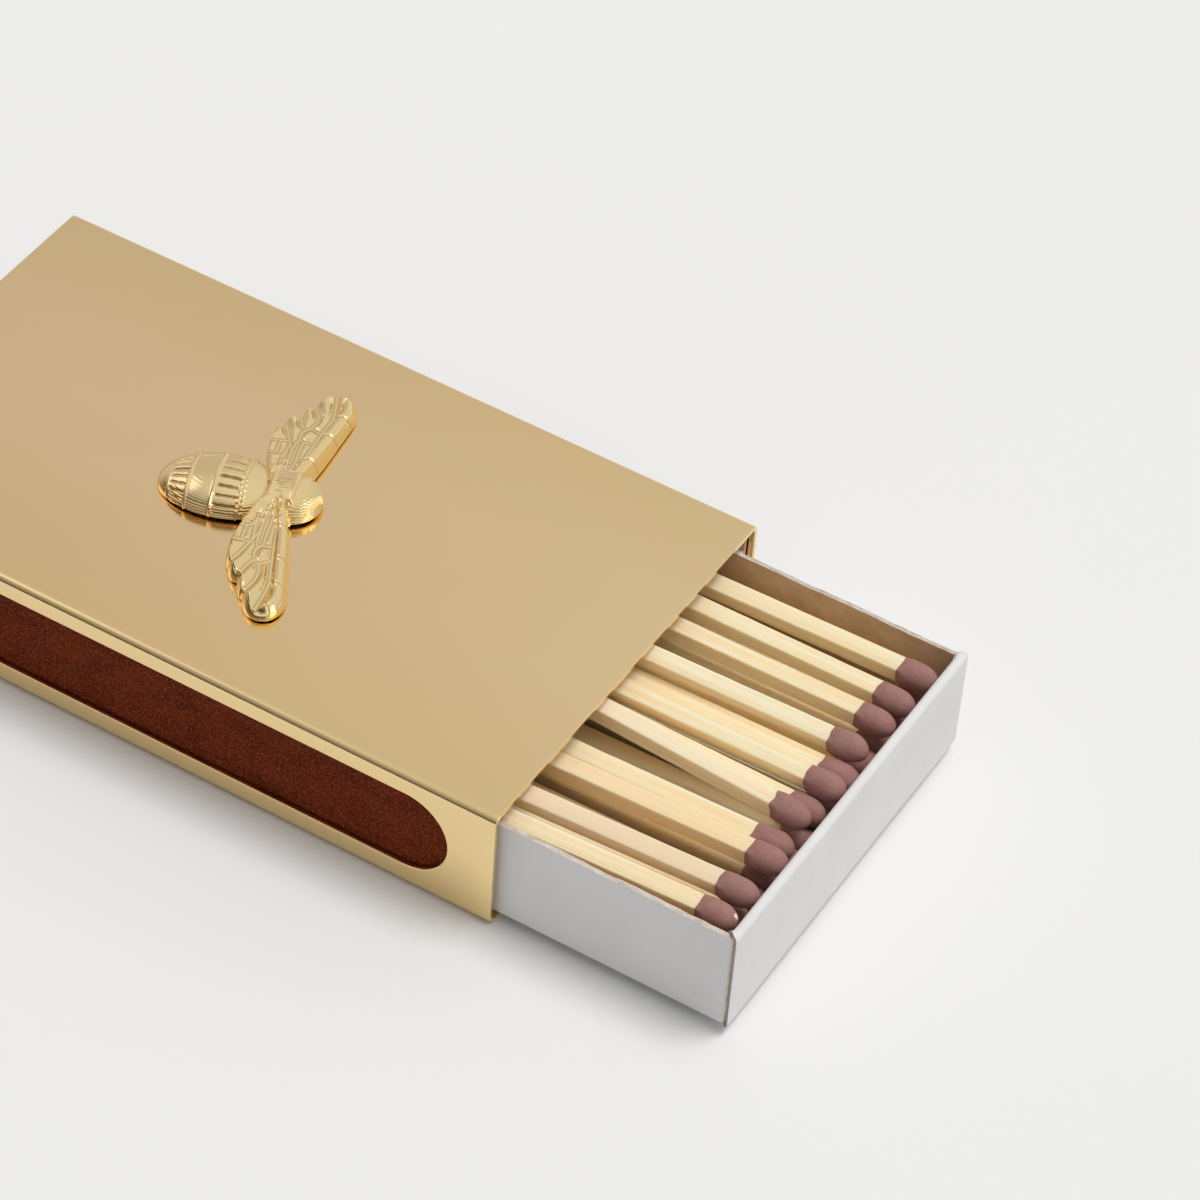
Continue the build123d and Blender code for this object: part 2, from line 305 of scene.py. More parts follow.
def makeKeyLamp():
    data = bpy.data.lights.new("keyLamp", "SUN")
    data.angle = math.radians(keyLamp["angle"])
    data.energy, data.color = keyLamp["strength"], keyLamp["color"]
    light = placed("keyLamp", data)
    direction = Vector(keyLamp["way"]).normalized()
    light.location = direction
    light.visible_glossy = False
    light.rotation_mode = "QUATERNION"
    light.rotation_quaternion = direction.to_track_quat("Z", "Y")


def makeFloor():
    finish, tree, shader = newFinish("studioFloor", Roughness=0.75)
    cloud = noiseOn(tree, objectPlace(tree), 6, 2)
    shade = tuple(c * studio["floorShade"] for c in studio["floor"])
    wire(tree, shader, layered(tree, studio["floor"], (cloud, 0, 1, 0.35, 0.65, shade)))
    reach, drop = studio["floorReach"], -studio["floorDrop"]
    floor = meshPiece("studioFloor", [(-reach, -reach, drop), (reach, -reach, drop), (reach, reach, drop),
                                      (-reach, reach, drop)], [(0, 1, 2, 3)], [finish])
    if floor.data.polygons[0].normal.z < 0:
        floor.data.flip_normals()
    floor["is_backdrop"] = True
    bpy.context.scene.view_settings.view_transform = "Standard"


makeCamera()
makeSky()
makeKeyLamp()
makeFloor()
print("camera, light and floor made")


# Finishes

gilt = {"sheet": (0.965, 0.735, 0.42), "sheetRim": (0.90, 0.69, 0.35), "rimMiddle": 3 * mm,
        "rimReach": (10 * mm, 34 * mm), "cast": (0.94, 0.733, 0.38), "grooveTone": (0.40, 0.205, 0.06)}
solder = {"dull": (0.46, 0.45, 0.42), "bright": (0.60, 0.58, 0.53)}
wood = {"light": (0.98, 0.865, 0.63), "main": (0.965, 0.765, 0.45), "streak": (0.88, 0.62, 0.32),
        "orange": (0.93, 0.62, 0.29), "grey": (0.87, 0.70, 0.52), "seedShift": 0.7}
compound = {"main": (0.38, 0.195, 0.168), "dark": (0.26, 0.12, 0.10), "dust": (0.40, 0.225, 0.20)}
boards = {"white": (0.80, 0.785, 0.775), "whiteLow": (0.75, 0.735, 0.725), "kraft": (0.86, 0.60, 0.37),
          "kraftDark": (0.62, 0.41, 0.23), "raw": (0.68, 0.59, 0.48), "rawDark": (0.40, 0.31, 0.23)}
striker = {"coat": (0.145, 0.0195, 0.0055), "low": (0.075, 0.010, 0.003), "grain": (0.50, 0.13, 0.036)}


def giltSheetFinish():
    finish, tree, shader = newFinish("giltSheet", Metallic=1.0)
    place = objectPlace(tree)
    cloud = noiseOn(tree, place, 25, 3)
    wiped = noiseOn(tree, place, (40, 160, 160), 4, 0.6, (3, 1, 7))
    across = addNode(tree, "ShaderNodeSeparateXYZ", {0: place}).outputs[1]
    away = mathOn(tree, "ABSOLUTE", mathOn(tree, "SUBTRACT", across, gilt["rimMiddle"]), 0.0)
    tone = layered(tree, gilt["sheet"], (away, 0, 1, *gilt["rimReach"], gilt["sheetRim"]),
                   (cloud, 0, 0.35, 0.35, 0.7, gilt["sheetRim"]))
    drawn = noiseOn(tree, place, (60, 5200, 5200), 2, 0.5, (1, 5, 2))
    pits = noiseOn(tree, place, 900, 4, 0.7)
    lines = bumpFrom(tree, drawn, 0.002 * mm, 0.25)
    wire(tree, shader, tone, bumpFrom(tree, pits, 0.006 * mm, 0.12, lines),
         spread(tree, wiped, 0.10, 0.20, 0.3, 0.7))
    return finish


def giltCastFinish():
    finish, tree, shader = newFinish("giltCast", Metallic=1.0)
    place = objectPlace(tree)
    groove = named(tree, "groove")
    cloud = noiseOn(tree, place, 300, 4, 0.6)
    # the cast is darker and rougher where the relief's groove mark is set: in its grooves, cuts and creases
    grooveDark = mathOn(tree, "MULTIPLY", groove, spread(tree, cloud, 0.7, 1.2, 0.3, 0.7))
    tone = layered(tree, gilt["cast"], (grooveDark, 0, 0.8, 0.1, 0.9, gilt["grooveTone"]))
    skin = noiseOn(tree, place, 1300, 3, 0.6)
    wire(tree, shader, tone, bumpFrom(tree, skin, 0.01 * mm, 0.25), spread(tree, grooveDark, 0.08, 0.26))
    return finish


def solderFinish():
    finish, tree, shader = newFinish("dullSolder", Metallic=1.0)
    cloud = noiseOn(tree, objectPlace(tree), 900, 3)
    wire(tree, shader, blendColors(tree, cloud, solder["dull"], solder["bright"]),
         bumpFrom(tree, cloud, 0.04 * mm, 0.5), spread(tree, cloud, 0.35, 0.55))
    return finish


def noiseFinish(name, inputs, noises, base, layers, bumps=()):
    # noises: stretch, detail, roughness and shift; layers: noise, share, range and color;
    # bumps: noise, depth and strength
    finish, tree, shader = newFinish(name, **inputs)
    place = objectPlace(tree)
    fields = {label: noiseOn(tree, place, *settings) for label, settings in noises.items()}
    tone = layered(tree, base, *((fields[label], 0, *rest) for label, *rest in layers))
    normal = None
    for label, depth, strength in bumps:
        normal = bumpFrom(tree, fields[label], depth, strength, normal)
    wire(tree, shader, tone, normal)
    return finish, tree, tone


def rawEdgeFinish(name, tint, paperShare):
    noises = {"tuft": ((900, 1700, 1700), 5, 0.7), "paper": ((420, 2300, 2300), 3, 0.6, (7, 3, 1))}
    layers = (("tuft", 1, 0.35, 0.7, boards["rawDark"]), ("paper", paperShare, 0.38, 0.66, boards["white"]))
    return noiseFinish(name, {"Roughness": 0.95}, noises, boards[tint], layers,
                       (("tuft", 0.12 * mm, 0.8),))[0]


def kraftFinish(name, roughness, depth, strength):
    noises = {"cloud": (260, 5, 0.65), "fibre": ((350, 1900, 1900), 4, 0.65, (2, 9, 4))}
    layers = (("cloud", 1, 0.3, 0.7, boards["kraftDark"]), ("fibre", 0.22, 0.5, 0.75, boards["raw"]))
    return noiseFinish(name, {"Roughness": roughness}, noises, boards["kraft"], layers,
                       (("fibre", depth, strength),))


def cartonFinish():
    # white paper outside, kraft inside: told apart by whether the face looks away from the middle
    finish, tree, tone = kraftFinish("cartonBoard", 0.8, 0.04 * mm, 0.4)
    low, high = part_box("carton_sleeve")
    centre = (low + high) / 2
    offset = vectorOn(tree, "SUBTRACT", objectPlace(tree), (0, centre.y, centre.z))
    flat = vectorOn(tree, "MULTIPLY", offset, (0, 1, 1))
    facing = addNode(tree, "ShaderNodeNewGeometry").outputs["Normal"]
    outside = mathOn(tree, "GREATER_THAN", towards(tree, flat, facing), 0.0)
    wire(tree, tree.nodes["Principled BSDF"], blendColors(tree, outside, tone, boards["white"]))
    return finish


def stickFinish():
    # the grain runs along each stick: it is read from the stick's own axis, not from the box
    finish, tree, shader = newFinish("sawnAspen", Roughness=0.72, Specular_IOR_Level=0.3,
                                     Subsurface_Weight=0.4, Subsurface_Scale=0.0012,
                                     Subsurface_Radius=(1.0, 0.8, 0.6))
    along, seed = named(tree, "along"), named(tree, "seed")
    across = vectorOn(tree, "SUBTRACT", objectPlace(tree), named(tree, "axisPoint", "Vector"))
    parts = addNode(tree, "ShaderNodeSeparateXYZ", {0: across}).outputs
    offset = mathOn(tree, "MULTIPLY", seed, wood["seedShift"])
    grain = nodeOut(tree, "ShaderNodeCombineXYZ", {0: mathOn(tree, "ADD", along, offset),
                                                   1: mathOn(tree, "ADD", parts[1], offset),
                                                   2: parts[2]})
    band = noiseOn(tree, grain, (14, 1000, 1000), 3, 0.6)
    fibre = noiseOn(tree, grain, (45, 3300, 3300), 4, 0.7, (1, 2, 3))
    pore = noiseOn(tree, grain, (260, 5200, 5200), 2, 0.5, (6, 1, 9))
    cloud = noiseOn(tree, grain, (75, 420, 420), 2, 0.5, (9, 4, 2))
    tone = layered(tree, wood["light"], (band, 0, 1, 0.38, 0.62, wood["main"]),
                   (seed, 0, 0.55, 0.45, 0.95, wood["orange"]), (seed, 0.75, 0, 0.02, 0.22, wood["grey"]),
                   (fibre, 0, 0.5, 0.48, 0.70, wood["streak"]), (pore, 0, 0.5, 0.64, 0.74, wood["streak"]),
                   (cloud, 0, 0.35, 0.55, 0.75, wood["light"]))
    ridges = bumpFrom(tree, fibre, 0.05 * mm, 0.55)
    wire(tree, shader, tone, bumpFrom(tree, band, 0.12 * mm, 0.3, ridges))
    return finish


def headFinish():
    finish, tree, shader = newFinish("dryCompound", Roughness=0.85, Specular_IOR_Level=0.25)
    place = objectPlace(tree)
    powder = noiseOn(tree, place, 5200, 5, 0.75)
    cloud = noiseOn(tree, place, 650, 3, 0.55, (2, 6, 1))
    pits = noiseOn(tree, place, 1500, 2, 0.5, (8, 8, 3))
    tone = layered(tree, compound["main"], (cloud, 0, 1, 0.35, 0.68, compound["dust"]),
                   (powder, 0, 0.75, 0.42, 0.75, compound["dark"]),
                   (named(tree, "bare"), 0, 1, 0.45, 0.55, wood["light"]))
    fine = bumpFrom(tree, powder, 0.05 * mm, 0.6)
    wire(tree, shader, tone, bumpFrom(tree, spread(tree, pits, 0, 1, 0.25, 0.45), 0.08 * mm, 0.4, fine))
    return finish


giltSheet = giltSheetFinish()
giltCast = giltCastFinish()
dullSolder = solderFinish()
whiteBoard = noiseFinish(
    "whiteBoard", {"Roughness": 0.62},
    {"cloud": (70, 4, 0.6), "fibre": ((700, 700, 2600), 3, 0.6), "fleck": (2400, 2, 0.5, (5, 5, 5))},
    boards["white"],
    (("cloud", 1, 0.4, 0.75, boards["whiteLow"]), ("fleck", 0.35, 0.70, 0.80, boards["raw"])),
    (("fibre", 0.03 * mm, 0.35),))[0]
kraftBoard = kraftFinish("kraftBoard", 0.9, 0.06 * mm, 0.5)[0]
rimEdge = rawEdgeFinish("rimEdge", "raw", 0.55)
endEdge = rawEdgeFinish("endEdge", "rawDark", 0.12)
cartonBoard = cartonFinish()
strikerCoat = noiseFinish(
    "strikerCoat", {"Roughness": 0.8, "Specular_IOR_Level": 0.05},
    {"speck": (3400, 4, 0.75), "cloud": ((180, 180, 420), 4, 0.6, (4, 2, 8))}, striker["coat"],
    (("cloud", 1, 0.35, 0.7, striker["low"]), ("speck", 0.55, 0.50, 0.66, striker["grain"])),
    (("speck", 0.08 * mm, 0.8),))[0]
strikerGrain = noiseFinish(
    "strikerGrain", {"Roughness": 0.4, "Specular_IOR_Level": 0.35}, {"pick": (2500, 2)}, striker["coat"],
    (("pick", 1, 0.35, 0.65, striker["grain"]),))[0]
sawnAspen = stickFinish()
dryCompound = headFinish()
print("finishes made")


def dress(node, finish):
    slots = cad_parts[node].data.materials
    if len(slots):
        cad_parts[node].material_slots[0].link = "OBJECT"
        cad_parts[node].material_slots[0].material = finish
    else:
        slots.append(finish)


# Metal cover: one bent sheet with a long window in each side

cover = {"sheet": 0.7 * mm, "insideBend": 0.6 * mm, "bendSteps": 12, "edgeRound": 0.19 * mm,
         "seamGap": 0.2 * mm, "seamAcross": 16 * mm, "endLand": 7.0 * mm, "topLand": 3.2 * mm,
         "lowLand": 3.6 * mm, "slotSteps": 28}


def roundedLoop(width, height, radius, steps, lift):
    loop = []
    for turn, (sideY, sideZ) in enumerate(((1, 1), (-1, 1), (-1, -1), (1, -1))):
        for step in range(steps + 1):
            angle = math.pi / 2 * (turn + step / steps)
            loop.append((sideY * (width / 2 - radius) + radius * math.cos(angle),
                         lift + sideZ * (height / 2 - radius) + radius * math.sin(angle)))
    return loop


def makeTube(name, outer, inner, lowX, highX):
    count = len(outer)
    points = [(x, y, z) for x, loop in ((lowX, outer), (highX, outer), (highX, inner), (lowX, inner))
              for y, z in loop]
    faces = []
    for ring in range(4):
        for i in range(count):
            j = (i + 1) % count
            k = (ring + 1) % 4
            faces.append((ring * count + i, ring * count + j, k * count + j, k * count + i))
    return meshPiece(name, points, faces, [giltSheet])


def makeCutter(name, loop, lowY, highY):
    count = len(loop)
    points = [(x, y, z) for y in (lowY, highY) for x, z in loop]
    faces = [tuple(range(count)), tuple(range(count, 2 * count))]
    faces += [(i, (i + 1) % count, count + (i + 1) % count, count + i) for i in range(count)]
    return meshPiece(name, points, faces, [giltSheet])


def makeCover():
    low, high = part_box("metal_cover")
    width, height, middle = high.y - low.y, high.z - low.z, (low.z + high.z) / 2
    sheet, bend = cover["sheet"], cover["insideBend"]
    outer = roundedLoop(width, height, bend + sheet, cover["bendSteps"], middle)
    inner = roundedLoop(width - 2 * sheet, height - 2 * sheet, bend, cover["bendSteps"], middle)
    tube = makeTube("coverTube", outer, inner, low.x, high.x)
    slotLow, slotHigh = low.z + cover["lowLand"], high.z - cover["topLand"]
    radius, slotMiddle = (slotHigh - slotLow) / 2, (slotHigh + slotLow) / 2
    ends = (high.x - cover["endLand"] - radius, low.x + cover["endLand"] + radius)
    slot = []
    for turn, endX in enumerate(ends):
        for step in range(cover["slotSteps"] + 1):
            angle = math.pi * (turn - 0.5 + step / cover["slotSteps"])
            slot.append((endX + radius * math.cos(angle), slotMiddle + radius * math.sin(angle)))
    window = makeCutter("windowCutter", slot, low.y - width, high.y + width)
    half = cover["seamGap"] / 2
    seamLoop = [(low.x - width, low.z - sheet), (high.x + width, low.z - sheet),
                (high.x + width, low.z + 2 * sheet), (low.x - width, low.z + 2 * sheet)]
    seam = makeCutter("seamCutter", seamLoop, cover["seamAcross"] - half, cover["seamAcross"] + half)
    for cutter in (window, seam):
        cut = tube.modifiers.new(cutter.name, "BOOLEAN")
        cut.operation, cut.solver, cut.object = "DIFFERENCE", "EXACT", cutter
    rounding = tube.modifiers.new("edgeRound", "BEVEL")
    rounding.width, rounding.segments = cover["edgeRound"], 2
    rounding.limit_method, rounding.angle_limit = "ANGLE", math.radians(40)
    rounding.harden_normals = True
    piece = bakedPiece("gilt_cover", tube)
    for cutter in (window, seam):
        bpy.data.objects.remove(cutter)
    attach(piece, "holder")
    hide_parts("metal_cover")


makeCover()
print("cover made")


# Bee: sizes in millimetres, s along the body to the head, t across it to the far side

bee = {
    "turn": 19.0, "shift": (1.9, -0.6), "belly": 0.62, "tailDrop": 0.34, "toFar": 0.45,
    "middle": -8.0, "tailLength": 9.35, "frontLength": 8.2, "halfWidth": 5.7, "height": 3.74,
    "headMiddle": 1.1, "headLength": 4.3, "headWidth": 4.45, "headHeight": 3.36,
    "saddle": (-1.75, 2.05), "saddleHalf": 3.1, "saddleHeight": 3.76, "saddleArch": 0.85,
    "saddleEdge": 0.5, "saddleRoll": 0.5,
    "saddleBead": (0.42, 0.15, 0.13),  # from the edge, width, rise
    "footRadius": 1.7, "footFrom": 0.2, "dropReach": 7.5, "underside": 0.42,
    "bodyGrid": (200, 200, 24), "headGrid": (100, 150, 20), "saddleGrid": (60, 90),
}
beeRings = ((-15.25, 0.11, 0.09), (-12.4, 0.15, 0.20), (-8.8, 0.17, 0.22), (-5.20, 0.10, 0.12),
            (-4.62, 0.10, 0.10))  # s, width, rise
beeBeads = {"rows": ((-5.16, 0.17, 0.0), (-4.66, 0.16, 2.6)), "count": 38, "rise": 0.20}  # s, width, turn
# from, to, step in degrees, depth, width
beeGrooveBands = ((-15.05, -12.65, 16.0, 0.26, 0.20), (-8.5, -5.40, 17.0, 0.32, 0.23))
beeGroove = {"edge": 0.18, "uneven": 0.25, "sway": 0.03}
beeLines = {"fade": 2.5, "pitch": 0.36, "depth": 0.15, "tailFrom": -14.9, "tailFade": 0.4, "neck": -4.3,
            "flank": 0.8, "ringClear": 1.6, "neckBrush": (0.012, 0.34), "bodyBrush": (0.008, 0.21),
            "cutDark": 0.24, "lineDark": 0.12}
saddleLines = ((1.9, -1.0, 0.1, 0.05), (1.25, -1.2, 0.5, 0.08), (0.45, -1.3, 1.3, 0.11),
               (0.08, -1.2, 0.6, 0.09), (-0.28, -1.3, 0.8, 0.09), (-0.7, -0.9, 0.5, 0.08),
               (-1.15, -0.6, 1.1, 0.06), (-1.8, -1.0, 0.4, 0.06))  # t, from, to, depth
saddleCut = {"deepen": 1.5, "width": 0.09, "fade": 0.4, "sway": 0.05, "dark": 0.15}
headLines = {"fade": 4.3, "pitch": 0.27, "depth": 0.07, "ticks": 52, "tickRise": 0.06, "tickTop": 3.4,
             "tickFade": 1.2, "lineDark": 0.15}

beeWing = {
    "shift": -0.4, "lift": 0.20, "rootRise": 3.55, "tipRise": 1.95, "span": 21.9,
    "rows": 280, "columns": 124, "rim": 0.62, "leadRoll": 1.45, "pillow": 1.28, "pillowEdge": 0.90,
    "rib": 0.22, "ribWidth": 0.25, "knobs": 30, "knobRise": 0.16, "knobWidth": 0.27,
    "knobField": ((-2.4, 1.4), (2.3, 6.8)), "tubeWidth": 1.85, "tubeRise": 0.34,
    "tubeJoints": (7.2, 12.9, 17.3), "jointRise": 0.13, "ringCut": 0.10, "crestAt": 1.1, "crestHalf": 0.70,
    "jointWidth": 0.17, "ringBefore": 0.36, "ringWidth": 0.15, "knobSeed": 5, "tubeShare": 0.86,
    "foot": 0.22, "footShare": 0.06, "underRoll": 0.16, "grooveIn": 0.26, "grooveWidth": 0.10,
    "lead": ((1.45, 0.6), (2.2, 3.2), (3.4, 7.8), (4.0, 10.6), (4.55, 13.5), (5.15, 16.6), (5.42, 18.3),
             (5.28, 19.6), (4.7, 20.8), (3.85, 21.6), (2.8, 21.9)),
    "trail": ((-2.7, 1.6), (-3.4, 4.0), (-4.0, 6.5), (-4.38, 8.5), (-4.52, 10.5), (-4.38, 12.2),
              (-4.0, 13.3), (-3.5, 14.0), (-3.4, 14.7), (-2.9, 15.45), (-2.25, 15.8), (-1.7, 15.85),
              (-1.68, 16.6), (-1.4, 17.5), (-0.95, 18.35), (-0.45, 18.7), (-0.2, 19.6), (0.35, 20.6),
              (1.1, 21.4), (2.0, 21.82), (2.8, 21.9)),
    "veins": (
        ((0.75, 2.6), (1.0, 5.0), (1.3, 8.0), (1.65, 10.4), (2.0, 12.6), (2.35, 14.6), (2.65, 16.2)),
        ((2.65, 16.2), (3.3, 16.7), (4.1, 17.2), (4.9, 17.6)),
        ((2.65, 16.2), (2.6, 17.6), (2.4, 19.2), (2.0, 21.2)),
        ((0.1, 4.6), (0.15, 6.2), (0.1, 8.0), (0.15, 10.3)),
        ((0.15, 10.3), (0.85, 10.4), (1.6, 10.2)),
        ((0.15, 10.3), (-0.45, 10.9), (-0.65, 11.8), (-0.35, 12.9)),
        ((-0.35, 12.9), (0.3, 13.5), (1.1, 13.25), (1.95, 12.6)),
        ((0.3, 13.5), (0.75, 14.8), (0.7, 16.2), (0.2, 17.6), (-0.45, 18.7)),
        ((-0.35, 12.9), (-0.95, 14.0), (-1.4, 15.1), (-1.7, 15.85)),
        ((-0.65, 3.4), (-0.8, 5.5), (-0.88, 8.0), (-0.75, 10.0), (-0.45, 10.9)),
        ((-0.88, 8.0), (-1.5, 9.6), (-2.1, 11.2), (-2.8, 12.8), (-3.5, 14.0)),
        ((-1.8, 5.2), (-1.75, 6.4), (-1.65, 7.6), (-1.5, 9.6)),
        ((-1.75, 6.9), (-2.7, 7.3), (-4.0, 7.3)),
        ((-1.75, 10.2), (-2.9, 10.0), (-4.4, 9.8)),
        ((-2.8, 7.3), (-2.9, 8.8), (-2.85, 10.0)),
    ),
}


def bump(distance, width):
    return np.exp(-(distance / width) ** 2)


def grooveBands(s, angle, radius):
    cut = np.zeros_like(s)
    for start, end, step, depth, width in beeGrooveBands:
        offset = np.abs((np.degrees(angle) + step / 2) % step - step / 2) * np.pi / 180 * radius
        inside = np.clip((s - start) / beeGroove["edge"], 0, 1) * np.clip((end - s) / beeGroove["edge"], 0, 1)
        cell = np.round(np.degrees(angle) / step)
        deep = depth * (1 - beeGroove["uneven"] + beeGroove["uneven"] * np.sin(cell * 2.3))
        cut += deep * bump(offset + beeGroove["sway"] * np.sin(s * 5 + cell), width) * inside
    return cut


def engravedLines(height, low, fade, pitch, depth):
    # cuts that run round the body at an even pitch, and fade out towards its back
    share = np.clip((fade - height) / (fade - low), 0, 1)
    wave = 0.5 + 0.5 * np.cos(2 * np.pi * (height - low) / pitch)
    return depth * wave ** 1.5 * np.clip(share * 2.2, 0, 1)


def bodyShell(middle, tailLength, frontLength, halfWidth, height, grid, relief, drop=0.0):
    # a dome that ends in a point at both ends, with a flatter underside
    rings, around, under = grid
    turns = np.linspace(0, np.pi, rings)[1:-1]
    s = middle - np.where(turns < np.pi / 2, tailLength, frontLength) * np.cos(turns)
    over = np.linspace(0, np.pi, around)
    below = np.linspace(np.pi, 2 * np.pi, under)[1:-1]
    angle = np.concatenate([over, below])
    reach = np.sin(turns)[:, None]
    sGrid = np.repeat(s[:, None], len(angle), 1)
    angleGrid = np.repeat(angle[None, :], len(s), 0)
    upper = (np.sin(angleGrid) >= -1e-9)
    fromTail = (s - middle + tailLength) / bee["dropReach"]
    belly = bee["belly"] - drop * np.clip(1 - fromTail, 0, 1)[:, None] ** 1.5
    rise, groove = relief(sGrid, angleGrid, reach * halfWidth, belly + reach * height * np.sin(angleGrid))
    rise = np.where(upper, rise, 0) * np.clip(reach * 4, 0, 1)
    across = (reach * halfWidth + rise) * np.cos(angleGrid)
    up = belly + np.where(upper, reach * height + rise, reach * bee["underside"]) * np.sin(angleGrid)
    points = np.stack([sGrid, across, up], -1).reshape(-1, 3)
    columns = len(angle)
    faces = gridFaces(len(s), columns, 0, True)
    tail, front = len(points), len(points) + 1
    points = np.vstack([points, [(middle - tailLength, 0, bee["belly"] - drop),
                                 (middle + frontLength, 0, bee["belly"])]])
    lastRow = (len(s) - 1) * columns
    for i in range(columns):
        j = (i + 1) % columns
        faces.append((tail, j, i))
        faces.append((front, lastRow + i, lastRow + j))
    marks = np.concatenate([np.where(upper, groove, 0).ravel(), [0, 0]])
    return points, faces, marks


def abdomenRelief(s, angle, radius, height):
    rise = np.zeros_like(s)
    for ringS, width, lift in beeRings:
        rise += lift * bump(s - ringS, width)
    beads = sum(bump(s - beadS, width) * (0.5 + 0.5 * np.cos(angle * beeBeads["count"] + shift))
                for beadS, width, shift in beeBeads["rows"])
    rise += beeBeads["rise"] * beads
    cut = grooveBands(s, angle, radius)
    clear = beeLines["ringClear"]
    smooth = 1 - np.clip(sum(bump(s - ringS, width * clear) for ringS, width, lift in beeRings), 0, 1)
    body = np.clip((s - beeLines["tailFrom"]) / beeLines["tailFade"], 0, 1)
    lines = engravedLines(height, bee["belly"], beeLines["fade"], beeLines["pitch"], beeLines["depth"])
    lines = lines * smooth * body * (np.abs(np.sin(angle)) < beeLines["flank"])
    (neckRise, neckPitch), (bodyRise, bodyPitch) = beeLines["neckBrush"], beeLines["bodyBrush"]
    brushed = neckRise * np.cos(angle * radius / neckPitch * 2 * np.pi) * (s > beeLines["neck"])
    brushed += bodyRise * np.cos(height / bodyPitch * 2 * np.pi) * smooth * body * (s < beeLines["neck"])
    dark = cut / beeLines["cutDark"] + lines / beeLines["lineDark"]
    return rise - cut - lines + brushed, np.clip(dark, 0, 1)


def headRelief(s, angle, radius, height):
    lines = engravedLines(height, bee["belly"], headLines["fade"], headLines["pitch"], headLines["depth"])
    ticks = headLines["tickRise"] * np.cos(angle * headLines["ticks"])
    ticks = ticks * np.clip((headLines["tickTop"] - height) / headLines["tickFade"], 0, 1)
    return -lines + ticks, np.clip(lines / headLines["lineDark"], 0, 1)


def slabShell(corners, rows, columns, topOf, bottom):
    # a block whose top is a relief over a grid, with upright sides and a flat underside
    (lowS, lowT), (highS, highT) = corners
    s, t = np.meshgrid(np.linspace(lowS, highS, rows), np.linspace(lowT, highT, columns), indexing="ij")
    top, groove = topOf(s, t)
    points = np.vstack([np.stack([s, t, top], -1).reshape(-1, 3),
                        np.stack([s, t, np.full_like(s, bottom)], -1).reshape(-1, 3)])
    return points, closedSheetFaces(rows, columns), np.concatenate([groove.ravel(), np.zeros(s.size)])


def closedSheetFaces(rows, columns):
    size = rows * columns
    faces = gridFaces(rows, columns) + gridFaces(rows, columns, size)
    border = [c for c in range(columns)] + [r * columns + columns - 1 for r in range(1, rows)]
    border += [(rows - 1) * columns + c for c in range(columns - 2, -1, -1)]
    border += [r * columns for r in range(rows - 2, 0, -1)]
    for a, b in zip(border, border[1:] + border[:1]):
        faces.append((a, b, size + b, size + a))
    return faces


def saddleTop(s, t):
    lowS, highS = bee["saddle"]
    half, (beadIn, beadWidth, beadRise) = bee["saddleHalf"], bee["saddleBead"]
    edgeS = np.minimum(s - lowS, highS - s)
    edge = np.minimum(edgeS, half - np.abs(t))
    roll = np.sqrt(1 - (1 - np.clip(edge / bee["saddleEdge"], 0, 1)) ** 2)
    top = bee["belly"] + bee["saddleHeight"] - bee["saddleArch"] * (t / half) ** 2
    top = top - bee["saddleRoll"] * (1 - roll) + beadRise * bump(edgeS - beadIn, beadWidth)
    cut = np.zeros_like(s)
    for lineT, lineLow, lineHigh, depth in saddleLines:
        along = np.clip((s - lineLow) / saddleCut["fade"], 0, 1)
        along = along * np.clip((lineHigh - s) / saddleCut["fade"], 0, 1)
        away = t - lineT - saddleCut["sway"] * np.sin(2 * s + lineT)
        cut += saddleCut["deepen"] * depth * bump(away, saddleCut["width"]) * along
    return top - cut, np.clip(cut / saddleCut["dark"], 0, 1)


def footShell(footS):
    steps, levels = 28, ((0.0, 1.0), (0.25, 0.93), (1.6, 0.86))
    angles = np.linspace(0, 2 * np.pi, steps, endpoint=False)
    points = [(footS + bee["footRadius"] * scale * math.cos(a), bee["footRadius"] * scale * math.sin(a),
               bee["footFrom"] + rise) for rise, scale in levels for a in angles]
    faces = gridFaces(len(levels), steps, 0, True)
    faces += [tuple(range(steps)), tuple(range(2 * steps, 3 * steps))]
    return points, faces, np.zeros(len(points))


def smoothLine(nodes, count):
    # an even walk along a rounded line through the nodes
    nodes = np.asarray(nodes, float)
    ends = np.vstack([2 * nodes[0] - nodes[1], nodes, 2 * nodes[-1] - nodes[-2]])
    fine = []
    for a, b, c, d in zip(ends, ends[1:], ends[2:], ends[3:]):
        for u in np.linspace(0, 1, 24, endpoint=False):
            fine.append(0.5 * (2 * b + (c - a) * u + (2 * a - 5 * b + 4 * c - d) * u ** 2
                               + (3 * b - a - 3 * c + d) * u ** 3))
    fine = np.vstack([fine, nodes[-1]])
    walk = np.concatenate([[0], np.cumsum(np.linalg.norm(np.diff(fine, axis=0), axis=1))])
    even = np.linspace(0, walk[-1], count)
    return np.stack([np.interp(even, walk, fine[:, 0]), np.interp(even, walk, fine[:, 1])], 1)


def distanceTo(points, line):
    nearest = np.full(len(points), 1e9)
    for a, b in zip(line, line[1:]):
        run = b - a
        share = np.clip(((points - a) @ run) / max(run @ run, 1e-12), 0, 1)
        nearest = np.minimum(nearest, np.linalg.norm(points - a - share[:, None] * run, axis=1))
    return nearest


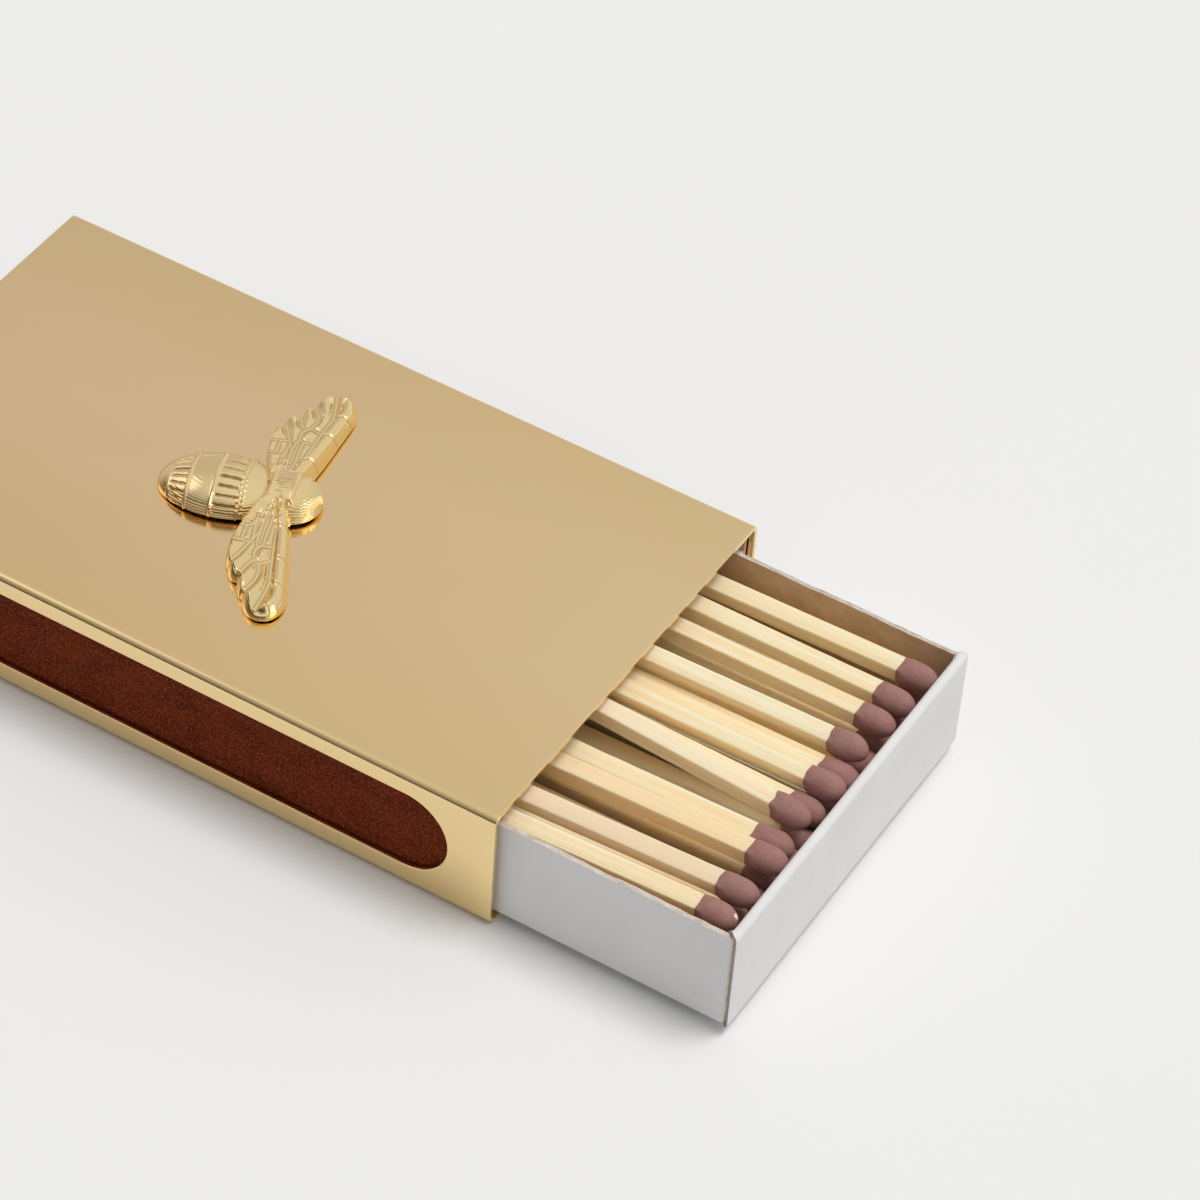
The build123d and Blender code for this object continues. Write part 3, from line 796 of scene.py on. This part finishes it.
def wingShell(side):
    rows, columns = beeWing["rows"], beeWing["columns"]
    lead, trail = smoothLine(beeWing["lead"], rows), smoothLine(beeWing["trail"], rows)
    share = 0.5 - 0.5 * np.cos(np.pi * np.linspace(0, 1, columns))
    flat = (trail[:, None] + (lead - trail)[:, None] * share[None, :, None])
    flat[-1] = trail[-1]
    places = flat.reshape(-1, 2)
    outline = np.vstack([trail, lead[::-1]])
    edge = distanceTo(places, outline)
    vein = np.full(len(places), 1e9)
    for nodes in beeWing["veins"]:
        vein = np.minimum(vein, distanceTo(places, smoothLine(nodes, 6 * len(nodes))))
    inner = smoothLine([(s - beeWing["tubeWidth"] * k, t) for (s, t), k in
                        zip(beeWing["lead"][:8], (0.6, 0.85, 1, 1, 1, 1, 0.9, 0.8))], 40)
    tube = distanceTo(places, lead[: int(rows * beeWing["tubeShare"])])
    gutter = distanceTo(places, inner)
    t = places[:, 1]
    span = np.clip(t / beeWing["span"], 0, 1)
    onTube = tube < beeWing["tubeWidth"]
    cell = np.minimum(np.where(onTube, 9, vein), gutter)
    soft = 1 - np.exp(-(np.minimum(cell, edge * 1.3) / beeWing["pillowEdge"]) ** 2)
    pillow = np.where(onTube, 0, beeWing["pillow"] * (soft - 0.5) * (0.45 + 0.55 * span))
    rib = np.where(onTube, 0, beeWing["rib"] * bump(vein, beeWing["ribWidth"]))
    slant = t - 0.25 * (places[:, 0] - 0.22 * t - 1.5)
    draws = np.random.default_rng(beeWing["knobSeed"])
    knobs = np.zeros(len(places))
    spots = [draws.uniform(low, high, beeWing["knobs"]) for low, high in beeWing["knobField"]]
    for spotS, spotT in zip(*spots):
        knobs += beeWing["knobRise"] * bump(np.hypot(places[:, 0] - spotS, t - spotT), beeWing["knobWidth"])
    joints = sum(bump(slant - jointT, beeWing["jointWidth"]) for jointT in beeWing["tubeJoints"])
    ring = sum(bump(slant - jointT + beeWing["ringBefore"], beeWing["ringWidth"])
               for jointT in beeWing["tubeJoints"])
    crest = np.sqrt(np.clip(1 - ((tube - beeWing["crestAt"]) / beeWing["crestHalf"]) ** 2, 0, 1))
    rise = beeWing["rootRise"] + (beeWing["tipRise"] - beeWing["rootRise"]) * span
    onRoll = beeWing["tubeRise"] * crest + beeWing["jointRise"] * joints - beeWing["ringCut"] * ring
    rise = rise + pillow + rib + knobs + np.where(onTube, onRoll, 0)
    rim = np.where(onTube | (tube < beeWing["leadRoll"] + 0.4), beeWing["leadRoll"], beeWing["rim"])
    roll = np.sqrt(1 - (1 - np.clip(edge / rim, 0, 1)) ** 2)
    foot, share = beeWing["foot"], beeWing["footShare"]
    top = beeWing["lift"] + foot + (rise - foot) * (share + (1 - share) * roll)
    groove = np.where(onTube, 0.5 * ring, 0.55 * bump(cell - beeWing["grooveIn"], beeWing["grooveWidth"]))
    groove = np.clip(np.maximum(groove, 0.5 * bump(gutter, beeWing["grooveWidth"])), 0, 1)
    bottom = beeWing["lift"] + beeWing["underRoll"] * (1 - roll)
    across = side * t + beeWing["shift"]
    points = np.vstack([np.stack([places[:, 0], across, level], -1) for level in (top, bottom)])
    return points, closedSheetFaces(rows, columns), np.concatenate([groove, np.zeros(len(places))])


def onCoverTop(points):
    turn = math.radians(bee["turn"])
    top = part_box("metal_cover")[1].z
    s, t, z = np.asarray(points, float).T * mm
    x = bee["shift"][0] * mm + s * math.cos(turn) - t * math.sin(turn)
    y = bee["shift"][1] * mm + s * math.sin(turn) + t * math.cos(turn)
    return np.stack([x, y, top + z], -1)


def beePiece(name, shells, toFar=0.0):
    points, faces, groove = joinShells(shells)
    points[:, 1] += toFar
    piece = meshPiece(name, onCoverTop(points), faces, [giltCast], marks={"groove": groove}, sharp=60)
    shape = bmesh.new()
    shape.from_mesh(piece.data)
    bmesh.ops.remove_doubles(shape, verts=shape.verts, dist=0.000001)
    bmesh.ops.dissolve_degenerate(shape, dist=0.0000005, edges=shape.edges)
    bmesh.ops.recalc_face_normals(shape, faces=shape.faces)
    shape.to_mesh(piece.data)
    shape.free()
    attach(piece, "holder")
    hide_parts("bee_ornament")


def makeBee():
    abdomen = bodyShell(bee["middle"], bee["tailLength"], bee["frontLength"], bee["halfWidth"], bee["height"],
                        bee["bodyGrid"], abdomenRelief, bee["tailDrop"])
    head = bodyShell(bee["headMiddle"], bee["headLength"], bee["headLength"], bee["headWidth"],
                     bee["headHeight"], bee["headGrid"], headRelief)
    (lowS, highS), half = bee["saddle"], bee["saddleHalf"]
    saddle = slabShell(((lowS, -half), (highS, half)), *bee["saddleGrid"], saddleTop, bee["belly"])
    feet = [footShell(bee["middle"]), footShell(bee["headMiddle"])]
    beePiece("bee_body", [abdomen, head, saddle, *feet], bee["toFar"])
    beePiece("bee_wing_near", [wingShell(-1)])
    beePiece("bee_wing_far", [wingShell(1)])
    dress("bee_solder", dullSolder)


makeBee()
print("bee made")


# Tray: folded board, raw at its cut edges, with double end walls and a folded-over top

tray = {"board": 0.45 * mm, "crease": 0.4 * mm, "endWall": 1.45 * mm, "cornerTurn": 0.55 * mm,
        "endPly": 0.80 * mm, "rimSwell": 1.85, "farRim": 0.35, "rimWave": 0.16 * mm, "curl": 0.10 * mm,
        "rimLow": 0.35, "rimShare": 0.93, "cutSwell": 1.05, "rows": 220, "endRows": 90, "endBend": 0.34 * mm,
        "endSpare": 0.01 * mm, "endLean": 0.06 * mm, "endSag": 0.06 * mm, "endFray": 0.05 * mm,
        "edgeReach": 0.35 * mm, "innerPly": 0.10 * mm, "innerLift": 0.05 * mm, "sideThin": 0.985,
        "endThin": 0.97, "swellWave": 0.12, "curlOut": 0.4}


def sheetShell(middle, half):
    # a thin board: middle line points per row, half thickness along each point's own normal
    rows, columns = middle.shape[:2]
    run = np.gradient(middle, axis=1)
    rise = np.gradient(middle, axis=0)
    normal = np.cross(run, rise)
    normal /= np.linalg.norm(normal, axis=2)[:, :, None]
    outer = (middle + normal * half[:, :, None]).reshape(-1, 3)
    inner = (middle - normal * half[:, :, None]).reshape(-1, 3)
    return np.vstack([outer, inner]), closedSheetFaces(rows, columns)


def makeTray():
    low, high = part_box("tray")
    board, half, crease = tray["board"], tray["board"] / 2, tray["crease"]
    rows, endWall, turn = tray["rows"], tray["endWall"], tray["cornerTurn"]

    # one folded piece: both side walls and the floor, from end wall to end wall
    arc = [(math.sin(a), 1 - math.cos(a)) for a in np.linspace(0, math.pi / 2, 7)]
    radius = crease - half
    nearY, farY, floorZ = low.y + half, high.y - half, low.z + half
    rimZ = high.z - tray["rimLow"] * endWall
    levels = np.linspace(0, 1, 26)[1:]
    walls = [[(y, floorZ + radius + level * (rimZ - floorZ - radius), level) for level in levels]
             for y in (nearY, farY)]
    bends = [[(y + way * radius * (1 - s), floorZ + radius * c, 0) for s, c in arc]
             for y, way in ((nearY, 1), (farY, -1))]
    base = [(nearY + radius + share * (farY - nearY - 2 * radius), floorZ, 0)
            for share in np.linspace(0, 1, 15)[1:-1]]
    section = np.array(walls[0][::-1] + bends[0][::-1] + base + bends[1] + walls[1])
    lowX, highX = low.x + tray["endPly"], high.x - tray["endPly"]
    turnSteps = np.linspace(0, math.pi / 2, 8)
    straight = np.linspace(lowX + turn, highX - turn, rows)
    xs = np.concatenate([lowX + turn - turn * np.sin(turnSteps[::-1]), straight[1:-1],
                         highX - turn + turn * np.sin(turnSteps)])
    inward = np.concatenate([turn * (1 - np.cos(turnSteps[::-1])), np.zeros(rows - 2),
                             turn * (1 - np.cos(turnSteps))])
    middle = np.zeros((len(xs), len(section), 3))
    wave = {near: ripple(len(xs), seed, 9) * 0.6 + ripple(len(xs), seed + 1, 2) * 0.4
            for near, seed in ((True, 11), (False, 13))}
    for column, (y, z, level) in enumerate(section):
        near = column < len(section) / 2
        side = 1 if near else -1
        isWall = level > 0
        middle[:, column, 0] = xs
        curl = tray["curl"] * level ** 4 * ripple(len(xs), 20 + near, 14)
        turns = isWall or abs(y - (nearY if near else farY)) < crease
        middle[:, column, 1] = y + side * inward * turns
        middle[:, column, 1] += side * np.maximum(curl, -tray["curlOut"] * tray["curl"])
        middle[:, column, 2] = z + tray["rimWave"] * (wave[near] - 1) * level ** 6
    topRim = np.clip((section[:, 2] - tray["rimShare"]) / (1 - tray["rimShare"]), 0, 1)
    topRim = topRim * np.where(np.arange(len(section)) < len(section) / 2, 1.0, tray["farRim"])
    swell = tray["rimSwell"] - 1 + tray["swellWave"] * ripple(len(xs), 31, 3)[:, None]
    halves = half * (1 + topRim[None, :] * swell)
    middle[:, :, 1] -= np.sign(middle[:, :, 1] - (nearY + farY) / 2) * (halves - half)
    points, faces = sheetShell(middle, halves * tray["sideThin"])
    rowCount, columnCount = middle.shape[:2]
    size = rowCount * columnCount
    wallFaces = (rowCount - 1) * (columnCount - 1)
    # white on the skin that looks outwards, brown on the other, raw along the rims and cut ends
    centre = np.array([(low.x + high.x) / 2, (low.y + high.y) / 2, high.z])
    firstOut = np.linalg.norm(points[size // 2] - centre) > np.linalg.norm(points[size + size // 2] - centre)
    kinds = [0 if firstOut else 1] * wallFaces + [1 if firstOut else 0] * wallFaces
    kinds += ([3] * (columnCount - 1) + [2] * (rowCount - 1)) * 2
    folded = meshPiece("tray_folded", points, faces, [whiteBoard, kraftBoard, rimEdge, endEdge], kinds,
                       sharp=50)
    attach(folded, "drawn_tray")
    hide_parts("tray")
    for end, name in ((1, "tray_end_drawn"), (-1, "tray_end_rear")):
        makeTrayEnd(name, end, low, high, board, endWall)


def makeTrayEnd(name, end, low, high, board, endWall):
    # one ply bent up from the floor, over the rounded fold and down inside
    half = board / 2
    outerR, bend = endWall / 2, tray["endBend"]
    ply = outerR - half
    foldZ = high.z - outerR
    baseX = high.x if end > 0 else low.x
    corner = [(ply - bend * (1 - math.sin(a)), low.z + half + bend * (1 - math.cos(a)))
              for a in np.linspace(0.1, math.pi / 2, 7)]
    path = corner + [(ply, z) for z in np.linspace(low.z + half + bend, foldZ, 24)[1:]]
    path += [(ply * math.cos(a), foldZ + ply * math.sin(a)) for a in np.linspace(0, math.pi, 17)[1:-1]]
    path += [(-ply, z) for z in np.linspace(foldZ, low.z + board + tray["innerLift"], 18)]
    count = tray["endRows"]
    spot = 0.5 - 0.5 * np.cos(np.linspace(0, math.pi, count))
    across = low.y + tray["endSpare"] + spot * (high.y - low.y - 2 * tray["endSpare"])
    lean = np.sin(spot * math.pi) * tray["endLean"]
    sag = tray["endSag"] * ripple(count, 41 + end, 10)
    edge = np.exp(-np.minimum(across - low.y, high.y - across) / tray["edgeReach"])
    inwardPly = (board + tray["innerPly"]) * np.clip([(0.3 * ply - x) / (0.9 * ply) for x, z in path], 0, 1)
    middle = np.zeros((count, len(path), 3))
    jitter = ripple(len(path), 51 + end, 1) * tray["endFray"]
    for column, (x, z) in enumerate(path):
        height = (z - low.z) / (high.z - low.z)
        squeeze = 1 - 2 * inwardPly[column] / (high.y - low.y)
        centreY = (low.y + high.y) / 2
        inset = tray["endSpare"] + lean * (1 - height) + tray["cutSwell"] * edge * half
        middle[:, column, 0] = baseX - end * (outerR - x) - end * inset
        fray = np.sign(across - centreY) * edge * (tray["endFray"] + jitter[column])
        middle[:, column, 1] = centreY + (across - centreY) * squeeze - fray
        middle[:, column, 2] = z + (sag - tray["endSag"]) * height ** 4
    halves = half * tray["endThin"] * (1 + tray["cutSwell"] * edge)[:, None] * np.ones((1, len(path)))
    points, faces = sheetShell(middle, halves)
    rowCount, columnCount = middle.shape[:2]
    wallFaces = (rowCount - 1) * (columnCount - 1)
    kinds = [0] * (2 * wallFaces) + [1] * (len(faces) - 2 * wallFaces)
    wall = meshPiece(name, points, faces, [whiteBoard, endEdge], kinds, sharp=50)
    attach(wall, "drawn_tray")
    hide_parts("tray")


makeTray()
print("tray made")


# Matches: sawn square sticks, each with its own grain, and dipped heads

match = {"side": 2.6 * mm, "fillet": 0.22 * mm, "filletSteps": 3, "lengthSteps": 110, "bow": 0.09 * mm,
         "rough": 0.11 * mm, "headFrom": 94.6, "headLength": 5.4, "domeFrom": 2.75, "radius": 1.93,
         "hueRange": (0.1, 0.7), "lowerRolls": (-5, 8), "bowSize": 22.0, "roughSize": 330.0,
         "mouthHalf": 1.345, "mouthFrom": 0.30, "mouthInside": 0.7, "squareness": 12, "swellReach": 1.7,
         "swellPower": 0.9, "tilt": (0.05, 0.36), "waveRise": 0.06, "waveReach": 2.2, "lumpRise": 0.022,
         "lean": 0.05, "ringPoints": 48}
chipped = {"head": "top_match_01_head", "along": 5.0, "length": 0.32, "turn": 0.95, "width": 0.50,
           "depth": 0.10}
headRings = (0.0, 0.06, 0.14, 0.26, 0.42, 0.62, 0.85, 1.1, 1.4, 1.75, 2.1, 2.45, 2.75, 3.05, 3.35, 3.65, 3.95,
             4.2, 4.42, 4.62, 4.8, 4.95, 5.07, 5.17, 5.25, 5.31, 5.35, 5.38)
hueSeeds = {"top_match_01": 0.20, "top_match_02": 0.04, "top_match_03": 0.86, "top_match_04": 0.42,
            "top_match_05": 0.15, "top_match_06": 0.47, "top_match_07": 0.35, "top_match_08": 0.52,
            "top_match_09": 0.31, "top_match_10": 0.55, "top_match_11": 0.48, "top_match_12": 0.40}
topRolls = (10, 14, 6, 12, 4, 9, 13, 8, 15, 5, 9, 11)  # degrees, from the nearest match to the farthest


def rollsOf(node, count):
    if node.startswith("top_match"):
        return [math.radians(topRolls[int(node[10:12]) - 1])]
    draws = np.random.default_rng(len(node) * 3 + count)
    return np.radians(draws.uniform(*match["lowerRolls"], count)).tolist()


def stickAxes(node):
    # each stick of a node as its two end middles, from the node's own corners
    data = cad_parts[node].data
    corners = np.unique(np.round([tuple(v.co) for v in data.vertices], 7), axis=0)
    order = corners[np.argsort(corners[:, 0])]
    half = len(order) // 2
    ends = []
    for group in (order[:half], order[half:]):
        group = group[np.argsort(group[:, 1])]
        ends.append([group[4 * i:4 * i + 4].mean(0) for i in range(half // 4)])
    return list(zip(*ends))


def newShapeTree(name, sockets):
    tree = bpy.data.node_groups.new(name, "GeometryNodeTree")
    tree.interface.new_socket("Geometry", in_out="INPUT", socket_type="NodeSocketGeometry")
    for label, kind in sockets.items():
        tree.interface.new_socket(label, in_out="INPUT", socket_type="NodeSocket" + kind)
    tree.interface.new_socket("Geometry", in_out="OUTPUT", socket_type="NodeSocketGeometry")
    return tree, addNode(tree, "NodeGroupInput").outputs


def finishShape(tree, shape, finish):
    real = nodeOut(tree, "GeometryNodeRealizeInstances", {0: shape})
    done = nodeOut(tree, "GeometryNodeSetMaterial", {"Geometry": real, "Material": finish})
    addNode(tree, "NodeGroupOutput", {0: done})


def grown(name, source, tree, values):
    change = source.modifiers.new("grown", "NODES")
    change.node_group = tree
    for item in tree.interface.items_tree:
        if item.item_type == "SOCKET" and item.in_out == "INPUT" and item.name in values:
            change[item.identifier] = values[item.name]
    return bakedPiece(name, source)


def markPoints(tree, shape, label, value, kind):
    inputs = {"Geometry": shape, "Name": label, "Value": value}
    return nodeOut(tree, "GeometryNodeStoreNamedAttribute", inputs, data_type=kind, domain="POINT")


def wander(tree, shape, size, amount, seed):
    # moves every point by a smooth random offset
    place = nodeOut(tree, "GeometryNodeInputPosition")
    noise = addNode(tree, "ShaderNodeTexNoise", {"Vector": place, "W": seed, "Scale": size, "Detail": 2.0},
                    noise_dimensions="4D").outputs["Color"]
    level = vectorOn(tree, "SUBTRACT", noise, (0.5, 0.5, 0.5))
    offset = nodeOut(tree, "ShaderNodeVectorMath", {0: level, "Scale": amount}, operation="SCALE")
    return nodeOut(tree, "GeometryNodeSetPosition", {"Geometry": shape, "Offset": offset})


def makeStickTree():
    tree, given = newShapeTree("stickShape", {"Side": "Float", "Corner": "Float", "Corner Steps": "Int",
                                              "Length Steps": "Int", "Bow": "Float", "Roughness": "Float",
                                              "Finish": "Material"})
    line = nodeOut(tree, "GeometryNodeMeshToCurve", {0: given["Geometry"]})
    line = nodeOut(tree, "GeometryNodeResampleCurve", {"Curve": line,
                                                       "Count": given["Length Steps"]})
    reach = addNode(tree, "GeometryNodeSplineParameter").outputs["Length"]
    line = markPoints(tree, line, "along", reach, "FLOAT")
    line = markPoints(tree, line, "axisPoint", nodeOut(tree, "GeometryNodeInputPosition"),
                      "FLOAT_VECTOR")
    line = wander(tree, line, match["bowSize"], given["Bow"], 3.0)
    line = nodeOut(tree, "GeometryNodeSetCurveNormal", {"Curve": line}, mode="Z_UP")
    roll = nodeOut(tree, "GeometryNodeInputNamedAttribute", {"Name": "roll"}, data_type="FLOAT")
    line = nodeOut(tree, "GeometryNodeSetCurveTilt", {"Curve": line, "Tilt": roll})
    square = nodeOut(tree, "GeometryNodeCurvePrimitiveQuadrilateral", {"Width": given["Side"],
                                                                       "Height": given["Side"]})
    profile = nodeOut(tree, "GeometryNodeFilletCurve", {"Curve": square, "Count": given["Corner Steps"],
                                                        "Radius": given["Corner"]}, mode="POLY")
    stick = nodeOut(tree, "GeometryNodeCurveToMesh", {"Curve": line, "Profile Curve": profile,
                                                      "Fill Caps": True})
    stick = wander(tree, stick, match["roughSize"], given["Roughness"], 8.0)
    finishShape(tree, stick, given["Finish"])
    return tree


def makeSticks(node, stickTree):
    axes = stickAxes(node)
    points = [tuple(end) for axis in axes for end in axis]
    source = placed(node + "_line", bpy.data.meshes.new(node + "_line"))
    source.data.from_pydata(points, [(2 * i, 2 * i + 1) for i in range(len(axes))], [])
    draws = np.random.default_rng(len(node) + ord(node[-8])).uniform(*match["hueRange"], len(axes))
    seeds = [hueSeeds.get(node[:-6], draw) for draw in draws for end in range(2)]
    mark(source.data, "seed", seeds)
    mark(source.data, "roll", [roll for roll in rollsOf(node, len(axes)) for end in range(2)])
    piece = grown("shown_" + node, source, stickTree, {
        "Side": match["side"], "Corner": match["fillet"], "Corner Steps": match["filletSteps"],
        "Length Steps": match["lengthSteps"], "Bow": match["bow"], "Roughness": match["rough"],
        "Finish": sawnAspen})
    shadeSmooth(piece.data, 45)
    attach(piece, "drawn_tray")
    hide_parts(node)
    return axes


def headShell(tail, tip, roll, draw, chipShare):
    # the coat starts thin and square on the stick, then swells into the round head
    axis = (tip - tail) / np.linalg.norm(tip - tail)
    side = np.cross((0, 0, 1), axis)
    side /= np.linalg.norm(side)
    up = np.cross(axis, side)
    side, up = side * math.cos(roll) + up * math.sin(roll), up * math.cos(roll) - side * math.sin(roll)
    angles = np.linspace(0, 2 * np.pi, match["ringPoints"], endpoint=False)
    tilt, turn = draw.uniform(*match["tilt"]), draw.uniform(0, 2 * np.pi)
    waves = draw.uniform(-1, 1, (4, 2))
    wavy = tilt * np.cos(angles - turn) + sum(
        match["waveRise"] * w[0] * np.cos((k + 2) * angles + 6 * w[1]) for k, w in enumerate(waves))
    lumps = draw.uniform(-1, 1, (5, 3))
    lean = draw.uniform(-match["lean"], match["lean"], 2)
    power = match["squareness"]
    corners = np.abs(np.cos(angles)) ** power + np.abs(np.sin(angles)) ** power
    square = match["mouthHalf"] / corners ** (1 / power)
    points, bare = [], []
    for a in (match["mouthFrom"], *headRings):
        first = len(points) == 0
        swell = np.sin(np.clip(a / match["swellReach"], 0, 1) * np.pi / 2) ** match["swellPower"]
        radius = square + (match["radius"] - square) * swell
        if a > match["domeFrom"]:
            share = (a - match["domeFrom"]) / (match["headLength"] - match["domeFrom"])
            radius = radius * np.sqrt(np.clip(1 - share ** 2, 0, 1))
        uneven = sum(match["lumpRise"] * l[0] * np.cos((k % 3 + 1) * angles + 6 * l[1] + 1.1 * a * l[2])
                     for k, l in enumerate(lumps))
        radius = radius * (1 + uneven * swell)
        if first:
            radius = radius * match["mouthInside"]
        place = a + wavy * np.clip(1 - a / match["waveReach"], 0, 1)
        chip = chipShare * np.exp(-(((a - chipped["along"]) / chipped["length"]) ** 2
                                    + ((angles - chipped["turn"]) / chipped["width"]) ** 2))
        radius = radius * (1 - chipped["depth"] * chip)
        for i, angle in enumerate(angles):
            centre = tail + axis * (match["headFrom"] + place[i]) * mm
            offset = (math.cos(angle) * radius[i] + lean[0] * swell) * side
            offset = offset + (math.sin(angle) * radius[i] + lean[1] * swell) * up
            points.append(centre + offset * mm)
            bare.append(chip[i])
    rings, columns = len(headRings) + 1, match["ringPoints"]
    faces = gridFaces(rings, columns, 0, True)
    faces.append(tuple(range(columns)))
    peak = axis * (match["headFrom"] + match["headLength"]) + lean[0] * side + lean[1] * up
    points.append(tail + peak * mm)
    bare.append(0)
    last = (rings - 1) * columns
    faces += [(last + i, last + (i + 1) % columns, len(points) - 1) for i in range(columns)]
    return np.array(points), faces, np.array(bare)


def makeHeads(stickNode, headNode, axes):
    shells = []
    for index, ((tail, tip), roll) in enumerate(zip(axes, rollsOf(stickNode, len(axes)))):
        draw = np.random.default_rng(sum(map(ord, headNode)) * 7 + index)
        shells.append(headShell(tail, tip, roll, draw, float(headNode == chipped["head"])))
    points, faces, bare = joinShells(shells)
    piece = meshPiece("shown_" + headNode, points, faces, [dryCompound], marks={"bare": bare}, sharp=70)
    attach(piece, "drawn_tray")
    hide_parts(headNode)


def makeMatches():
    stickTree = makeStickTree()
    nodes = [(f"{row}_row_sticks", f"{row}_row_heads") for row in ("bottom", "second", "third")]
    nodes += [(f"top_match_{i:02d}_stick", f"top_match_{i:02d}_head") for i in range(1, 13)]
    for stickNode, headNode in nodes:
        makeHeads(stickNode, headNode, makeSticks(stickNode, stickTree))


makeMatches()
print("matches made")


# Carton: white paper outside, kraft inside, and a gritty striker coat on both long sides

grain = {"count": 5200, "size": 0.075 * mm, "sizes": (0.5, 1.3), "turn": 6.28, "spare": 0.45 * mm,
         "proud": 0.3}


def makeGrainTree():
    tree, given = newShapeTree("grainScatter", {"Density": "Float", "Size": "Float", "Seed": "Int",
                                                "Finish": "Material"})
    spots = addNode(tree, "GeometryNodeDistributePointsOnFaces", {
        "Mesh": given["Geometry"], "Density": given["Density"], "Seed": given["Seed"]}).outputs["Points"]
    lump = nodeOut(tree, "GeometryNodeMeshIcoSphere", {"Radius": given["Size"], "Subdivisions": 1})
    turn, size = (nodeOut(tree, "FunctionNodeRandomValue", {0: (least,) * 3, 1: (most,) * 3, "Seed": seed},
                          data_type="FLOAT_VECTOR")
                  for least, most, seed in ((0, grain["turn"], 1), (*grain["sizes"], 2)))
    grains = nodeOut(tree, "GeometryNodeInstanceOnPoints", {
        "Points": spots, "Instance": lump, "Rotation": turn, "Scale": size})
    finishShape(tree, grains, given["Finish"])
    return tree


def makeCarton():
    dress("carton_sleeve", cartonBoard)
    tree = makeGrainTree()
    for node, side, seed in (("striker_strip_near", -1, 3), ("striker_strip_far", 1, 4)):
        dress(node, strikerCoat)
        low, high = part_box(node)
        y = (low.y if side < 0 else high.y) - side * grain["proud"] * grain["size"]
        spare = grain["spare"]
        corners = [(low.x + spare, y, low.z + spare), (high.x - spare, y, low.z + spare),
                   (high.x - spare, y, high.z - spare), (low.x + spare, y, high.z - spare)]
        field = meshPiece(node + "_field", corners, [(0, 1, 2, 3)], [strikerGrain])
        area = (high.x - low.x) * (high.z - low.z)
        piece = grown(node + "_grains", field, tree, {"Density": grain["count"] / area, "Size": grain["size"],
                                                      "Seed": seed, "Finish": strikerGrain})
        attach(piece, "carton")


makeCarton()
print("carton made")


# Size against the construction

seenLow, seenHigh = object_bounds()
for label, corners in (("construction", (*cadLow, *cadHigh)), ("visual", (*seenLow, *seenHigh))):
    print(label, "bounds in mm", [round(v / mm, 3) for v in corners])
